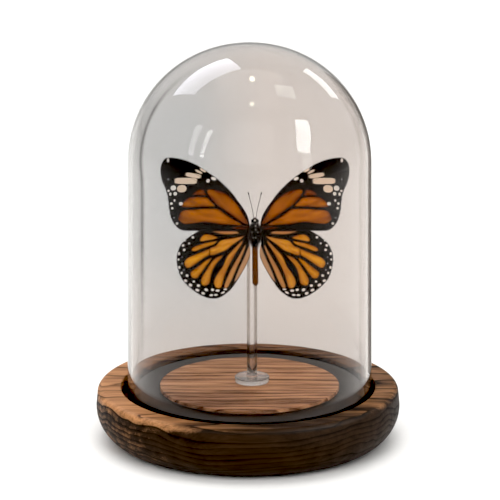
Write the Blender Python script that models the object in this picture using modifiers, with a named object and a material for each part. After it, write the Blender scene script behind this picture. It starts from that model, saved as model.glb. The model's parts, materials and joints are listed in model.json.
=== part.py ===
"""Spread butterfly on a clear rod, under a glass dome on a turned wooden base.

Metres, +Z up, with the origin at the centre of the base's flat underside. The butterfly shows its
upper side to -Y. Sizes below are millimetres, and MM turns them to metres.
"""

import math

import bmesh
import bpy
from mathutils import Matrix, Vector

MM = 0.001
GAP = 0.3  # free space kept between pieces that touch

# Turned wooden base
BASE_RADIUS = 68.3
BASE_TOP = 25.8
BELLY_HEIGHT = 17.4  # where the base is widest, and the height of its round lower edge
BELLY_DEPTH = 17.2
SHOULDER_RADIUS = 2.8
SHOULDER_SETBACK = 0.5
RECESS_RADIUS = 57.2
RECESS_FLOOR = 18.0
RIM_EASE = 0.6
BASE_STEPS = 64

# What stands in the recess sits a little to the right of its middle
INNER_X = 0.7
INNER_STEPS = 56

# Black plinth and the wooden disc on it
PLINTH_RADIUS = 51.6
PLINTH_TOP = 25.2
DISC_RADIUS = 40.4
DISC_TOP = 27.1
EDGE_EASE = 0.4

# Blown glass dome: a tube closed by a round top, a little flatter and fuller than half a ball
DOME_RADIUS = 55.0
DOME_WALL = 2.2
DOME_RISE = 54.2
DOME_SHOULDER_HEIGHT = 131.3
DOME_FULLNESS = 2.05
DOME_FOOT = RECESS_FLOOR + GAP

# Clear rod and its foot
ROD_X = 1.8
ROD_Y = 3.4
ROD_RADIUS = 2.3
ROD_TOP = 99.0
FOOT_RADIUS = 7.85
FOOT_THICKNESS = 2.4
COLLAR_RADIUS = 2.6
COLLAR_HEIGHT = 0.9

# Butterfly, placed by the middle of its thorax
SPECIMEN = (3.1, -2.2, 97.9)
WING_LIFT = 7.0  # degrees that each wing is raised towards the viewer
WING_THICKNESS = 0.3
FOREWING_Y = -1.3
HINDWING_Y = -0.6
OUTLINE_STEPS = 3

THORAX_HALF = (2.6, 2.7, 5.6)
THORAX_FULLNESS = 3.0  # 2 is a plain ellipsoid
THORAX_REAR_TAPER = 0.25
HEAD_RADIUS = 1.35
HEAD_RISE = 6.9
EYE_RADIUS = 0.9
EYE_SPREAD = 0.85
ABDOMEN_TOP = -3.6
ABDOMEN_LENGTH = 20.4
ABDOMEN_RADIUS = 1.4
ABDOMEN_RINGS = 7
ABDOMEN_CREASE = 0.12
ABDOMEN_Y = 0.5
ABDOMEN_LEAN = 0.7  # degrees
ANTENNA_RADIUS = 0.16
CLUB_RADIUS = 0.34
LEG_RADIUS = 0.26

# Wing outlines: (distance from the body's middle, height above the thorax's middle), from the
# front of the root round the tip to the back of the root
FOREWING = [
    (2.5, 5.6), (3.2, 9.4), (5.1, 13.3), (7.8, 17.3), (10.9, 21.2), (14.2, 24.9), (18.1, 28.3),
    (22.4, 31.6), (27.1, 34.7), (31.9, 36.9), (36.2, 38.0), (39.6, 38.1), (41.4, 36.5),
    (42.2, 34.0), (42.2, 30.8), (41.5, 27.4), (40.1, 24.1), (39.1, 21.1), (38.7, 18.0),
    (38.4, 14.9), (37.8, 11.4), (36.7, 8.3), (35.1, 6.0), (32.8, 4.4), (29.8, 4.0),
    (23.4, 3.8), (12.6, 3.5), (2.7, 3.1),
]
HINDWING = [
    (2.9, 2.2), (5.6, 4.7), (12.0, 5.9), (18.6, 5.4), (24.3, 3.7), (27.6, 1.9), (30.4, -0.1),
    (32.9, -2.6), (34.3, -5.6), (35.0, -8.8), (34.8, -12.4), (34.0, -15.7), (32.8, -18.8),
    (30.6, -21.7), (27.6, -24.5), (24.2, -26.9), (20.2, -28.5), (16.3, -28.4), (13.3, -26.7),
    (10.7, -24.4), (8.2, -21.0), (5.8, -17.1), (3.7, -13.1), (2.3, -9.4), (2.2, -6.0),
    (2.9, -2.5),
]
# One antenna and the two walking legs of the right side: (x, y, z) from the thorax's middle
ANTENNA = [
    (0.55, -0.5, 8.5), (0.9, -1.0, 11.4), (1.6, -1.4, 14.8), (2.4, -1.6, 18.2), (3.0, -1.7, 20.6),
]
LEG_MIDDLE = [
    (1.5, 1.4, 1.4), (3.6, 3.3, 0.4), (4.9, 4.6, -1.4), (4.7, 5.4, 0.9), (4.6, 6.2, 3.4), (4.9, 7.0, 5.4),
]
LEG_HIND = [
    (1.3, 1.2, -1.8), (3.5, 3.1, -3.6), (4.8, 4.1, -6.0), (4.7, 5.2, -4.2), (4.5, 6.2, -6.4),
    (4.9, 7.0, -8.4),
]


def clear_scene():
    """Empties the startup scene."""
    for obj in list(bpy.data.objects):
        bpy.data.objects.remove(obj, do_unlink=True)


def finish(name, colour, roughness, clear=0.0):
    """A Principled material; clear is its share of transmission."""
    made = bpy.data.materials.new(name)
    made.use_nodes = True
    shader = made.node_tree.nodes["Principled BSDF"]
    shader.inputs["Base Color"].default_value = (*colour, 1.0)
    shader.inputs["Roughness"].default_value = roughness
    shader.inputs["Metallic"].default_value = 0.0
    shader.inputs["Transmission Weight"].default_value = clear
    return made


def arc(centre_r, centre_z, radius, start, end, steps, rise=None, fullness=2.0):
    """Points of an arc in the turning plane, with angles in degrees up from +X.

    rise is its radius along Z where that differs, and fullness over 2 squares it a little.
    """
    points = []
    for i in range(steps + 1):
        angle = math.radians(start + (end - start) * i / steps)
        across = math.copysign(abs(math.cos(angle)) ** (2.0 / fullness), math.cos(angle))
        up = math.copysign(abs(math.sin(angle)) ** (2.0 / fullness), math.sin(angle))
        points.append((max(0.0, centre_r + radius * across), centre_z + (rise or radius) * up))
    return points


def add(collection, obj, material=None):
    """Puts an object in a collection, with its material."""
    collection.objects.link(obj)
    if material:
        obj.data.materials.append(material)
    return obj


def turned(collection, name, profile, steps, material, at=(0.0, 0.0, 0.0)):
    """A shape turned about Z from a profile of (radius, height) that runs down its outer side."""
    mesh = bpy.data.meshes.new(name)
    verts = [(r * MM, 0.0, z * MM) for r, z in profile]
    mesh.from_pydata(verts, [(i, i + 1) for i in range(len(verts) - 1)], [])
    obj = add(collection, bpy.data.objects.new(name, mesh), material)
    screw = obj.modifiers.new("Turn", "SCREW")
    screw.steps = steps
    screw.render_steps = steps
    screw.use_merge_vertices = True
    screw.merge_threshold = 0.00001
    obj.location = [value * MM for value in at]
    return obj


def between(a, b, c, d, t):
    """The point at t between b and c on a Catmull-Rom curve."""
    return tuple(
        0.5 * (2 * q + (r - p) * t + (2 * p - 5 * q + 4 * r - s) * t * t + (3 * q - p - 3 * r + s) * t ** 3)
        for p, q, r, s in zip(a, b, c, d, strict=True)
    )


def smooth_loop(points, steps):
    """A closed smooth curve through the points, cut into steps for each span."""
    count = len(points)
    loop = []
    for i in range(count):
        span = [points[(i + k) % count] for k in (-1, 0, 1, 2)]
        loop += [between(*span, s / steps) for s in range(steps)]
    return loop


def make_base(collection, wood):
    """The wooden base: a flat rim round a recess, a small shoulder and a round lower edge."""
    shoulder_r = BASE_RADIUS - SHOULDER_SETBACK - SHOULDER_RADIUS
    shoulder_z = BASE_TOP - SHOULDER_RADIUS
    profile = [(0.0, RECESS_FLOOR), (RECESS_RADIUS, RECESS_FLOOR)]
    profile += arc(RECESS_RADIUS + RIM_EASE, BASE_TOP - RIM_EASE, RIM_EASE, 180, 90, 2)
    profile += arc(shoulder_r, shoulder_z, SHOULDER_RADIUS, 90, 6, 4)
    profile += arc(BASE_RADIUS - BELLY_DEPTH, BELLY_HEIGHT, BELLY_DEPTH, 0, -90, 7, BELLY_HEIGHT)
    profile.append((0.0, 0.0))
    return turned(collection, "wooden_base", profile, BASE_STEPS, wood)


def make_slab(collection, name, radius, bottom, top, material):
    """A round slab in the recess, its upper edge eased."""
    profile = [(0.0, top)]
    profile += arc(radius - EDGE_EASE, top - EDGE_EASE, EDGE_EASE, 90, 0, 2)
    profile += [(radius, bottom), (0.0, bottom)]
    return turned(collection, name, profile, INNER_STEPS, material, (INNER_X, 0.0, 0.0))


def make_dome(collection, glass):
    """The glass dome: a tube closed by a round top, with a rounded open rim."""
    inner = DOME_RADIUS - DOME_WALL
    inner_rise = DOME_RISE - DOME_WALL
    lip = DOME_WALL / 2
    profile = arc(0.0, DOME_SHOULDER_HEIGHT, DOME_RADIUS, 90, 0, 9, DOME_RISE, DOME_FULLNESS)
    profile += arc(DOME_RADIUS - lip, DOME_FOOT + lip, lip, 0, -180, 4)
    profile += arc(0.0, DOME_SHOULDER_HEIGHT, inner, 0, 90, 9, inner_rise, DOME_FULLNESS)
    return turned(collection, "glass_dome", profile, INNER_STEPS, glass, (INNER_X, 0.0, 0.0))


def make_stand(collection, clear):
    """The clear rod and the disc foot that it stands in."""
    bottom = DISC_TOP + GAP
    top = bottom + FOOT_THICKNESS
    foot = [(0.0, top + COLLAR_HEIGHT), (COLLAR_RADIUS, top + COLLAR_HEIGHT), (COLLAR_RADIUS, top)]
    foot += [(FOOT_RADIUS - 0.5, top), (FOOT_RADIUS, top - 0.5), (FOOT_RADIUS, bottom), (0.0, bottom)]
    turned(collection, "stand_foot", foot, 32, clear, (ROD_X, ROD_Y, 0.0))
    low = top + COLLAR_HEIGHT + GAP
    rod = [(0.0, ROD_TOP), (ROD_RADIUS - 0.3, ROD_TOP), (ROD_RADIUS, ROD_TOP - 0.3)]
    rod += [(ROD_RADIUS, low), (0.0, low)]
    turned(collection, "stand_rod", rod, 20, clear, (ROD_X, ROD_Y, 0.0))


def place(obj, x=0.0, y=0.0, z=0.0):
    """Places an object by its offset from the middle of the butterfly's thorax."""
    obj.location = [(base + off) * MM for base, off in zip(SPECIMEN, (x, y, z), strict=True)]
    return obj


def make_wing(collection, name, outline, side, root_y, material):
    """A flat wing, raised about the body's length: side is 1 on the right and -1 on the left."""
    curve = bpy.data.curves.new(name, "CURVE")
    curve.dimensions = "2D"
    curve.fill_mode = "BOTH"
    curve.extrude = WING_THICKNESS / 2 * MM
    lift = math.radians(WING_LIFT)
    points = smooth_loop(outline, OUTLINE_STEPS)
    spline = curve.splines.new("POLY")
    spline.points.add(len(points) - 1)
    for point, (u, v) in zip(spline.points, points, strict=True):
        point.co = (side * u / math.cos(lift) * MM, v * MM, 0.0, 1.0)
    spline.use_cyclic_u = True
    obj = place(add(collection, bpy.data.objects.new(name, curve), material), y=root_y)
    obj.rotation_euler = (math.radians(90), 0.0, -side * lift)
    return obj


def ball(name, radii, segments, rings):
    """A mesh ball with its own radii along X, Y and Z, in millimetres."""
    mesh = bpy.data.meshes.new(name)
    form = bmesh.new()
    bmesh.ops.create_uvsphere(form, u_segments=segments, v_segments=rings, radius=MM)
    bmesh.ops.transform(form, matrix=Matrix.Diagonal((*radii, 1.0)), verts=form.verts)
    form.to_mesh(mesh)
    form.free()
    return mesh


def make_tube(collection, name, points, radii, material=None):
    """A thin limb through points that are measured from the thorax's middle."""
    curve = bpy.data.curves.new(name, "CURVE")
    curve.dimensions = "3D"
    curve.bevel_depth = MM
    curve.bevel_resolution = 1
    curve.use_fill_caps = True
    spline = curve.splines.new("POLY")
    spline.points.add(len(points) - 1)
    for point, place_mm, radius in zip(spline.points, points, radii, strict=True):
        point.co = (*(Vector(place_mm) * MM), 1.0)
        point.radius = radius
    return place(add(collection, bpy.data.objects.new(name, curve), material))


def as_mesh(collection, obj):
    """Turns a curve or a turned profile into a closed mesh that a Boolean can join."""
    bpy.context.view_layer.update()
    graph = bpy.context.evaluated_depsgraph_get()
    mesh = bpy.data.meshes.new_from_object(obj.evaluated_get(graph))
    form = bmesh.new()
    form.from_mesh(mesh)
    bmesh.ops.remove_doubles(form, verts=form.verts, dist=0.00001)
    bmesh.ops.recalc_face_normals(form, faces=form.faces)
    form.to_mesh(mesh)
    form.free()
    name = obj.name
    matrix = obj.matrix_world.copy()
    bpy.data.objects.remove(obj, do_unlink=True)
    solid = bpy.data.objects.new(name, mesh)
    solid.matrix_world = matrix
    return add(collection, solid)


def make_thorax(collection, chitin):
    """The thorax: full at the shoulders, narrower towards the abdomen."""
    mesh = ball("butterfly_body", THORAX_HALF, 20, 12)
    for vert in mesh.vertices:
        along = vert.co.z / (THORAX_HALF[2] * MM)
        if abs(along) > 0.999:
            continue
        full = (1.0 - abs(along) ** THORAX_FULLNESS) ** (1.0 / THORAX_FULLNESS)
        girth = full / math.sqrt(1.0 - along ** 2) * (1.0 - THORAX_REAR_TAPER * max(0.0, -along))
        vert.co.x *= girth
        vert.co.y *= girth
    return place(add(collection, bpy.data.objects.new("butterfly_body", mesh), chitin))


def make_abdomen(collection):
    """The ringed abdomen, blunt at its tip and leaning a little."""
    profile = [(0.0, 0.0)]
    steps = ABDOMEN_RINGS * 3
    for i in range(1, steps):
        along = i / steps
        swell = ABDOMEN_RADIUS * min(1.0, (along / 0.1) ** 0.5, ((1.0 - along) / 0.07) ** 0.5)
        crease = ABDOMEN_CREASE if i % 3 == 0 else 0.0
        profile.append((swell * (0.92 + 0.08 * along) - crease, -ABDOMEN_LENGTH * along))
    profile.append((0.0, -ABDOMEN_LENGTH))
    obj = place(turned(collection, "abdomen", profile, 12, None), y=ABDOMEN_Y, z=ABDOMEN_TOP)
    obj.rotation_euler.y = -math.radians(ABDOMEN_LEAN)
    return as_mesh(collection, obj)


def make_body(collection, forms, chitin):
    """The body grown as one piece: head, eyes, abdomen and folded legs joined to the thorax."""
    body = make_thorax(collection, chitin)
    head_mesh = ball("head", (HEAD_RADIUS,) * 3, 14, 8)
    joined = [place(add(forms, bpy.data.objects.new("head", head_mesh)), z=HEAD_RISE), make_abdomen(forms)]
    for side, word in ((-1, "left"), (1, "right")):
        eye = add(forms, bpy.data.objects.new(f"eye_{word}", ball("eye", (EYE_RADIUS,) * 3, 12, 6)))
        joined.append(place(eye, side * EYE_SPREAD, -0.3, HEAD_RISE + 0.15))
        for pair, points in (("middle", LEG_MIDDLE), ("hind", LEG_HIND)):
            path = [(side * x, y, z) for x, y, z in points]
            radii = [LEG_RADIUS * (1.0 - 0.08 * i) for i in range(len(path))]
            joined.append(as_mesh(forms, make_tube(forms, f"leg_{pair}_{word}", path, radii)))
    for form in joined:
        form.hide_render = True
        form.display_type = "WIRE"
        join = body.modifiers.new(f"Join {form.name}", "BOOLEAN")
        join.operation = "UNION"
        join.object = form
    return body


def make_antenna(collection, side, word, chitin):
    """An antenna: a thin shaft with a club at its tip."""
    path = [(side * x, y, z) for x, y, z in ANTENNA]
    radii = [ANTENNA_RADIUS] * (len(path) - 2) + [CLUB_RADIUS * 0.6, CLUB_RADIUS]
    return make_tube(collection, f"antenna_{word}", path, radii, chitin)


def main():
    """Builds every piece in its place."""
    clear_scene()
    part = bpy.data.collections.new("butterfly_in_glass_dome")
    forms = bpy.data.collections.new("joined_forms")
    for collection in (part, forms):
        bpy.context.scene.collection.children.link(collection)

    charred_pine = finish("charred_pine", (0.19, 0.105, 0.055), 0.55)
    oiled_pine = finish("oiled_pine", (0.3, 0.16, 0.085), 0.5)
    black_stain = finish("black_stain", (0.02, 0.02, 0.019), 0.6)
    clear_glass = finish("clear_glass", (0.95, 0.96, 0.95), 0.0, 1.0)
    clear_acrylic = finish("clear_acrylic", (0.97, 0.97, 0.96), 0.02, 1.0)
    wing_scales = finish("wing_scales", (0.56, 0.21, 0.03), 0.7)
    black_chitin = finish("black_chitin", (0.015, 0.013, 0.012), 0.45)

    make_base(part, charred_pine)
    make_slab(part, "black_plinth", PLINTH_RADIUS, RECESS_FLOOR + GAP, PLINTH_TOP, black_stain)
    make_slab(part, "centre_disc", DISC_RADIUS, PLINTH_TOP + GAP, DISC_TOP, oiled_pine)
    make_dome(part, clear_glass)
    make_stand(part, clear_acrylic)
    make_body(part, forms, black_chitin)
    for side, word in ((-1, "left"), (1, "right")):
        make_wing(part, f"forewing_{word}", FOREWING, side, FOREWING_Y, wing_scales)
        make_wing(part, f"hindwing_{word}", HINDWING, side, HINDWING_Y, wing_scales)
        make_antenna(part, side, word, black_chitin)


main()
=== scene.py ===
"""A spread butterfly on a clear rod under a glass dome, which stands on a charred and brushed wooden base."""

import json
import logging
import math
from collections.abc import Callable, Sequence
from dataclasses import dataclass, field
from enum import Enum
from functools import partial

import bpy
import numpy as np
from bpy.types import Material, Mesh, Node, NodeSocket, NodeTree, Object
from mathutils import Euler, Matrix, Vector, geometry

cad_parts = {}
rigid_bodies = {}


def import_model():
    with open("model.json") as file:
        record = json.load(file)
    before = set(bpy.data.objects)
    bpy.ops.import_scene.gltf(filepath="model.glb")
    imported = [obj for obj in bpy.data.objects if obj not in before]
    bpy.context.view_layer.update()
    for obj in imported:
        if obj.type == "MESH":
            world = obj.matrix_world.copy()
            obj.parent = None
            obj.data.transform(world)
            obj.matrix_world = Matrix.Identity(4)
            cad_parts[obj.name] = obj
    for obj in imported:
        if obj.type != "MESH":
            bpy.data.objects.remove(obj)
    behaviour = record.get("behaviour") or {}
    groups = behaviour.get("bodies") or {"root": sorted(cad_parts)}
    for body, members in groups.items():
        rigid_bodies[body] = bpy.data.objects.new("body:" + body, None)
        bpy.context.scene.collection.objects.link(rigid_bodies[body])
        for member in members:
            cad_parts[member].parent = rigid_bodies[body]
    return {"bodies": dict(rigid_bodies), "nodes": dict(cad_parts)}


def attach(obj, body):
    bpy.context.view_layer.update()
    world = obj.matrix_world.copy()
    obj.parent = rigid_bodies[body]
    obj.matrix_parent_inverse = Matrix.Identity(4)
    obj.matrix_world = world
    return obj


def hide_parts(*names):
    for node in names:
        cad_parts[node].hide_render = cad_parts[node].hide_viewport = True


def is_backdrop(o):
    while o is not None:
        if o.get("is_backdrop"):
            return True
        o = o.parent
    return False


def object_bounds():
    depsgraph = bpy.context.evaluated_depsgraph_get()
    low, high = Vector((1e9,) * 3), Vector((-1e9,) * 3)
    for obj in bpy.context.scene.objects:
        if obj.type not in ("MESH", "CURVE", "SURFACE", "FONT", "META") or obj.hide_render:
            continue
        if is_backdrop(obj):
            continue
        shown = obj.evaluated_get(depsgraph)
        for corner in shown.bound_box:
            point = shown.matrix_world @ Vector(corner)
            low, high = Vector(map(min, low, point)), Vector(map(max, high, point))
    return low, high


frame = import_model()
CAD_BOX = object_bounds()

LOG = logging.getLogger("butterfly_dome")
MM = 0.001
SPECIMEN = (3.1, -2.2, 97.9)
WING_LIFT = math.radians(7.0)
CROWN_M = (0.0, 0.0, 0.17)
LEFT_M = (-0.02, -0.04, 0.15)
BODY = "root"

Point = tuple[float, ...]
Profile = Sequence[tuple[float, float]]
Colour = tuple[float, float, float, float]
Stops = Sequence[tuple[float, str]]
Adder = Callable[..., Node]

# The node types that the trees use more than once
MATH, VECTOR_MATH, AXES = "ShaderNodeMath", "ShaderNodeVectorMath", "ShaderNodeSeparateXYZ"
PLACE, MAPPING, NOISE = "ShaderNodeTexCoord", "ShaderNodeMapping", "ShaderNodeTexNoise"
RANGE, RAMP, MIX = "ShaderNodeMapRange", "ShaderNodeValToRGB", "ShaderNodeMix"
FACING, MARK, BUMP = "ShaderNodeLayerWeight", "ShaderNodeAttribute", "ShaderNodeBump"
NAMED, RANDOM = "GeometryNodeInputNamedAttribute", "FunctionNodeRandomValue"
CURVE, EVEN = "GeometryNodeMeshToCurve", "GeometryNodeResampleCurve"


class Side(Enum):
    """The butterfly's sides as the viewer sees them."""

    LEFT = -1
    RIGHT = 1


class SpotTone(Enum):
    """The tones that the pale wing spots come in."""

    CREAM = "cream"
    WHITE = "white"
    FAINT = "faint"


def linear(hex_colour: str) -> Colour:
    """Turns an sRGB hex colour into the linear colour that a shader takes.

    Args:
        hex_colour: six hex digits, with or without the hash sign.

    Returns:
        Linear red, green and blue with an alpha of one.
    """
    digits = hex_colour.lstrip("#")
    parts = [int(digits[i : i + 2], 16) / 255.0 for i in (0, 2, 4)]
    return (*(c / 12.92 if c <= 0.04045 else ((c + 0.055) / 1.055) ** 2.4 for c in parts), 1.0)


def set_inputs(node: Node, inputs: dict[int | str, object]) -> None:
    """Gives a node its input values and its links.

    Args:
        node: the node.
        inputs: for each input, by its number or name, a value, a hex colour, a socket to link, or a node
            whose first live output is linked.
    """
    for key, value in inputs.items():
        if isinstance(value, Node):
            value = next(socket for socket in value.outputs if socket.enabled)
        if isinstance(value, NodeSocket):
            node.id_data.links.new(value, node.inputs[key])
        else:
            hexed = isinstance(value, str) and value.startswith("#")
            node.inputs[key].default_value = linear(value) if hexed else value


def add_node(
    tree: NodeTree,
    kind: str,
    inputs: dict[int | str, object] | None = None,
    stops: Stops = (),
    **settings: object,
) -> Node:
    """Adds a node with its settings, its input values and its links.

    Args:
        tree: the shader or geometry tree that gets the node.
        kind: the node's type name.
        inputs: what set_inputs takes.
        stops: places and hex colours of a colour ramp.
        **settings: the node's own properties.

    Returns:
        The new node.
    """
    node = tree.nodes.new(kind)
    for name, value in settings.items():
        setattr(node, name, value)
    set_inputs(node, inputs or {})
    if stops:
        elements = node.color_ramp.elements
        while len(elements) < len(stops):
            elements.new(1.0)
        for element, (place, colour) in zip(elements, stops, strict=True):
            element.position, element.color = place, linear(colour)
    return node


def start_material(name: str) -> tuple[Material, Adder, Node]:
    """Makes a material with its Principled shader.

    Args:
        name: the real material and how it was made.

    Returns:
        The material, a call that adds a node to its tree, and its shader node.
    """
    made = bpy.data.materials.new(name)
    made.use_nodes = True
    return made, partial(add_node, made.node_tree), made.node_tree.nodes["Principled BSDF"]


def smooth_line(points: Sequence[Point], steps: int, closed: bool = False) -> np.ndarray:
    """Runs a Catmull-Rom curve through given points.

    Args:
        points: the points, of any number of values each.
        steps: how many parts each span is cut into.
        closed: whether the last point joins the first.

    Returns:
        The points of the curve, one row each.
    """
    rows = np.asarray(points, dtype=float)
    last = len(rows) - 1
    t = (np.arange(steps) / steps)[:, None]
    parts = []
    for i in range(last + closed):
        near = [(i + k) % (last + 1) if closed else min(max(i + k, 0), last) for k in (-1, 0, 1, 2)]
        a, b, c, d = rows[near]
        bend = (2 * a - 5 * b + 4 * c - d) * t**2 + (3 * b - a - 3 * c + d) * t**3
        parts.append(0.5 * (2 * b + (c - a) * t + bend))
    return np.vstack(parts if closed else [*parts, rows[-1:]])


def arc(centre: Point, radii: Point, start: float, end: float, steps: int, fullness: float = 2.0) -> Profile:
    """Makes an arc of a superellipse in the turning plane.

    Args:
        centre: radius and height of the arc's centre, in millimetres.
        radii: its half width and half height.
        start: first angle in degrees, up from the outward direction.
        end: last angle.
        steps: how many parts it is cut into.
        fullness: two gives an ellipse, and more a squarer shoulder.

    Returns:
        Points of radius and height.
    """
    points = []
    for i in range(steps + 1):
        angle = math.radians(start + (end - start) * i / steps)
        cosine, sine = math.cos(angle), math.sin(angle)
        across, up = (math.copysign(abs(x) ** (2.0 / fullness), x) for x in (cosine, sine))
        points.append((max(0.0, centre[0] + radii[0] * across), centre[1] + radii[1] * up))
    return points


class Forms:
    """Gathers skinned forms, in millimetres, into one mesh with marks on its points."""

    def __init__(self) -> None:
        """Starts with no form."""
        self.points: list[np.ndarray] = []
        self.faces: list[tuple[int, ...]] = []
        self.marks: list[dict[str, np.ndarray]] = []
        self.count = 0

    def skin(self, rings: np.ndarray, start: Point, end: Point, **marks: float) -> None:
        """Skins rings of points between two poles, with the faces turned outwards.

        Args:
            rings: an array of rings, points of a ring, and x, y and z.
            start: the pole before the first ring.
            end: the pole after the last ring.
            **marks: a value for each named attribute on all of the form's points.
        """
        lines, around = rings.shape[:2]
        points = np.vstack([rings.reshape(-1, 3), [start], [end]])
        pairs = [(j, (j + 1) % around) for j in range(around)]
        base = (lines - 1) * around
        faces = []
        for low in range(0, base, around):
            high = low + around
            faces += [(low + j, high + j, high + k, low + k) for j, k in pairs]
        first, last = lines * around, lines * around + 1
        faces += [(first, j, k) for j, k in pairs]
        faces += [(last, base + k, base + j) for j, k in pairs]
        self.add(points, faces, marks)

    def add(self, points: np.ndarray, faces: list[tuple[int, ...]], marks: dict[str, object]) -> None:
        """Adds a closed form and turns its faces outwards.

        Args:
            points: its points, one row each.
            faces: its faces, as numbers of its own points.
            marks: a value or an array of values for each named attribute.
        """
        thirds = np.array([(f[0], f[k], f[k + 1]) for f in faces for k in range(1, len(f) - 1)])
        a, b, c = (points[thirds[:, k]] for k in range(3))
        if np.einsum("ij,ij->i", a, np.cross(b, c)).sum() < 0:
            faces = [tuple(reversed(f)) for f in faces]
        self.faces += [tuple(n + self.count for n in f) for f in faces]
        self.points.append(points)
        full = {key: np.broadcast_to(np.asarray(v, float), (len(points),)) for key, v in marks.items()}
        self.marks.append(full)
        self.count += len(points)

    def mesh(self, name: str, crease: float = 40.0) -> Mesh:
        """Makes the mesh, in metres, smooth except at its creases.

        Args:
            name: the mesh's name.
            crease: the angle in degrees from which an edge stays sharp.

        Returns:
            The finished mesh.
        """
        mesh = bpy.data.meshes.new(name)
        mesh.from_pydata(np.vstack(self.points) * MM, [], self.faces)
        mesh.shade_smooth()
        for mark in sorted({key for marks in self.marks for key in marks}):
            values = [m.get(mark, np.zeros(len(p))) for m, p in zip(self.marks, self.points, strict=True)]
            mesh.attributes.new(mark, "FLOAT", "POINT").data.foreach_set("value", np.concatenate(values))
        crease_edges(mesh, crease)
        return mesh


def crease_edges(mesh: Mesh, angle: float) -> None:
    """Marks the edges as sharp where the faces turn by more than an angle.

    Args:
        mesh: the mesh to mark.
        angle: that angle in degrees.
    """
    normals = [p.normal for p in mesh.polygons]
    sides: dict[tuple[int, int], list[int]] = {}
    for polygon in mesh.polygons:
        for key in polygon.edge_keys:
            sides.setdefault(key, []).append(polygon.index)
    limit = math.cos(math.radians(angle))
    sharp = [
        len(pair) == 2 and normals[pair[0]].dot(normals[pair[1]]) < limit
        for pair in (sides.get(e.key, []) for e in mesh.edges)
    ]
    mesh.attributes.new("sharp_edge", "BOOLEAN", "EDGE").data.foreach_set("value", sharp)


def turned_rings(profile: Profile, steps: int, centre: Point) -> np.ndarray:
    """Turns a profile about an upright axis.

    Args:
        profile: radius and height of each ring, down the outer side.
        steps: points in a ring.
        centre: x and y of the axis, in millimetres.

    Returns:
        An array of rings, points and coordinates.
    """
    angles = np.linspace(0.0, 2 * math.pi, steps, endpoint=False)
    rows = np.asarray(profile, dtype=float)
    rings = np.empty((len(rows), steps, 3))
    rings[:, :, 0] = centre[0] + rows[:, :1] * np.cos(angles)
    rings[:, :, 1] = centre[1] + rows[:, :1] * np.sin(angles)
    rings[:, :, 2] = rows[:, 1:2]
    return rings


def turned_mesh(name: str, profile: Profile, steps: int, centre: Point = (0.0, 0.0)) -> Mesh:
    """Makes a turned solid from a profile that starts and ends on the axis.

    Args:
        name: the mesh's name.
        profile: radius and height, from the upper pole down the outer side to the lower pole.
        steps: points in a ring.
        centre: x and y of the axis, in millimetres.

    Returns:
        The closed mesh.
    """
    forms = Forms()
    poles = [(centre[0], centre[1], profile[k][1]) for k in (0, -1)]
    forms.skin(turned_rings(profile[1:-1], steps, centre), poles[0], poles[1])
    return forms.mesh(name)


def show_piece(name: str, mesh: Mesh, material: Material, slot: str, *nodes: str) -> None:
    """Puts a finished piece on the body, in the place of its solids.

    Args:
        name: the piece's name.
        mesh: its mesh, placed in metres.
        material: its finish.
        slot: not used.
        *nodes: the solids that it stands for.
    """
    mesh.materials.clear()
    mesh.materials.append(material)
    piece = bpy.data.objects.new(name, mesh)
    bpy.context.scene.collection.objects.link(piece)
    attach(piece, BODY)
    if nodes:
        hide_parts(*nodes)
    LOG.info("%s: %d points, %d faces", name, len(mesh.vertices), len(mesh.polygons))


# Geometry Nodes: limbs along a path, hairs on a skin and scales along a margin


def start_tree(name: str, sizes: dict[str, float | int | Point]) -> tuple[NodeTree, Adder, Sequence]:
    """Starts a geometry tree with named inputs, the last of them its material.

    Args:
        name: the tree's name.
        sizes: the default of each size.

    Returns:
        The tree, a call that adds a node to it, and the sockets with what the tree is given.
    """
    tree = bpy.data.node_groups.new(name, "GeometryNodeTree")
    add_socket = tree.interface.new_socket
    add_socket("Geometry", in_out="INPUT", socket_type="NodeSocketGeometry")
    types = {float: "NodeSocketFloat", int: "NodeSocketInt", tuple: "NodeSocketVector"}
    for label, value in sizes.items():
        add_socket(label, in_out="INPUT", socket_type=types[type(value)]).default_value = value
    add_socket("Material", in_out="INPUT", socket_type="NodeSocketMaterial")
    add_socket("Geometry", in_out="OUTPUT", socket_type="NodeSocketGeometry")
    add = partial(add_node, tree)
    return tree, add, add("NodeGroupInput").outputs


def end_tree(add: Adder, given: Sequence, last: Node) -> None:
    """Ends a tree with realised instances and their material.

    Args:
        add: the call that adds a node to the tree.
        given: the sockets with what the tree is given.
        last: the node with the finished shapes.
    """
    smooth = add("GeometryNodeSetShadeSmooth", {0: last})
    real = add("GeometryNodeRealizeInstances", {0: smooth})
    dressed = add("GeometryNodeSetMaterial", {0: real, "Material": given["Material"]})
    add("NodeGroupOutput", {0: dressed})


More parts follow.
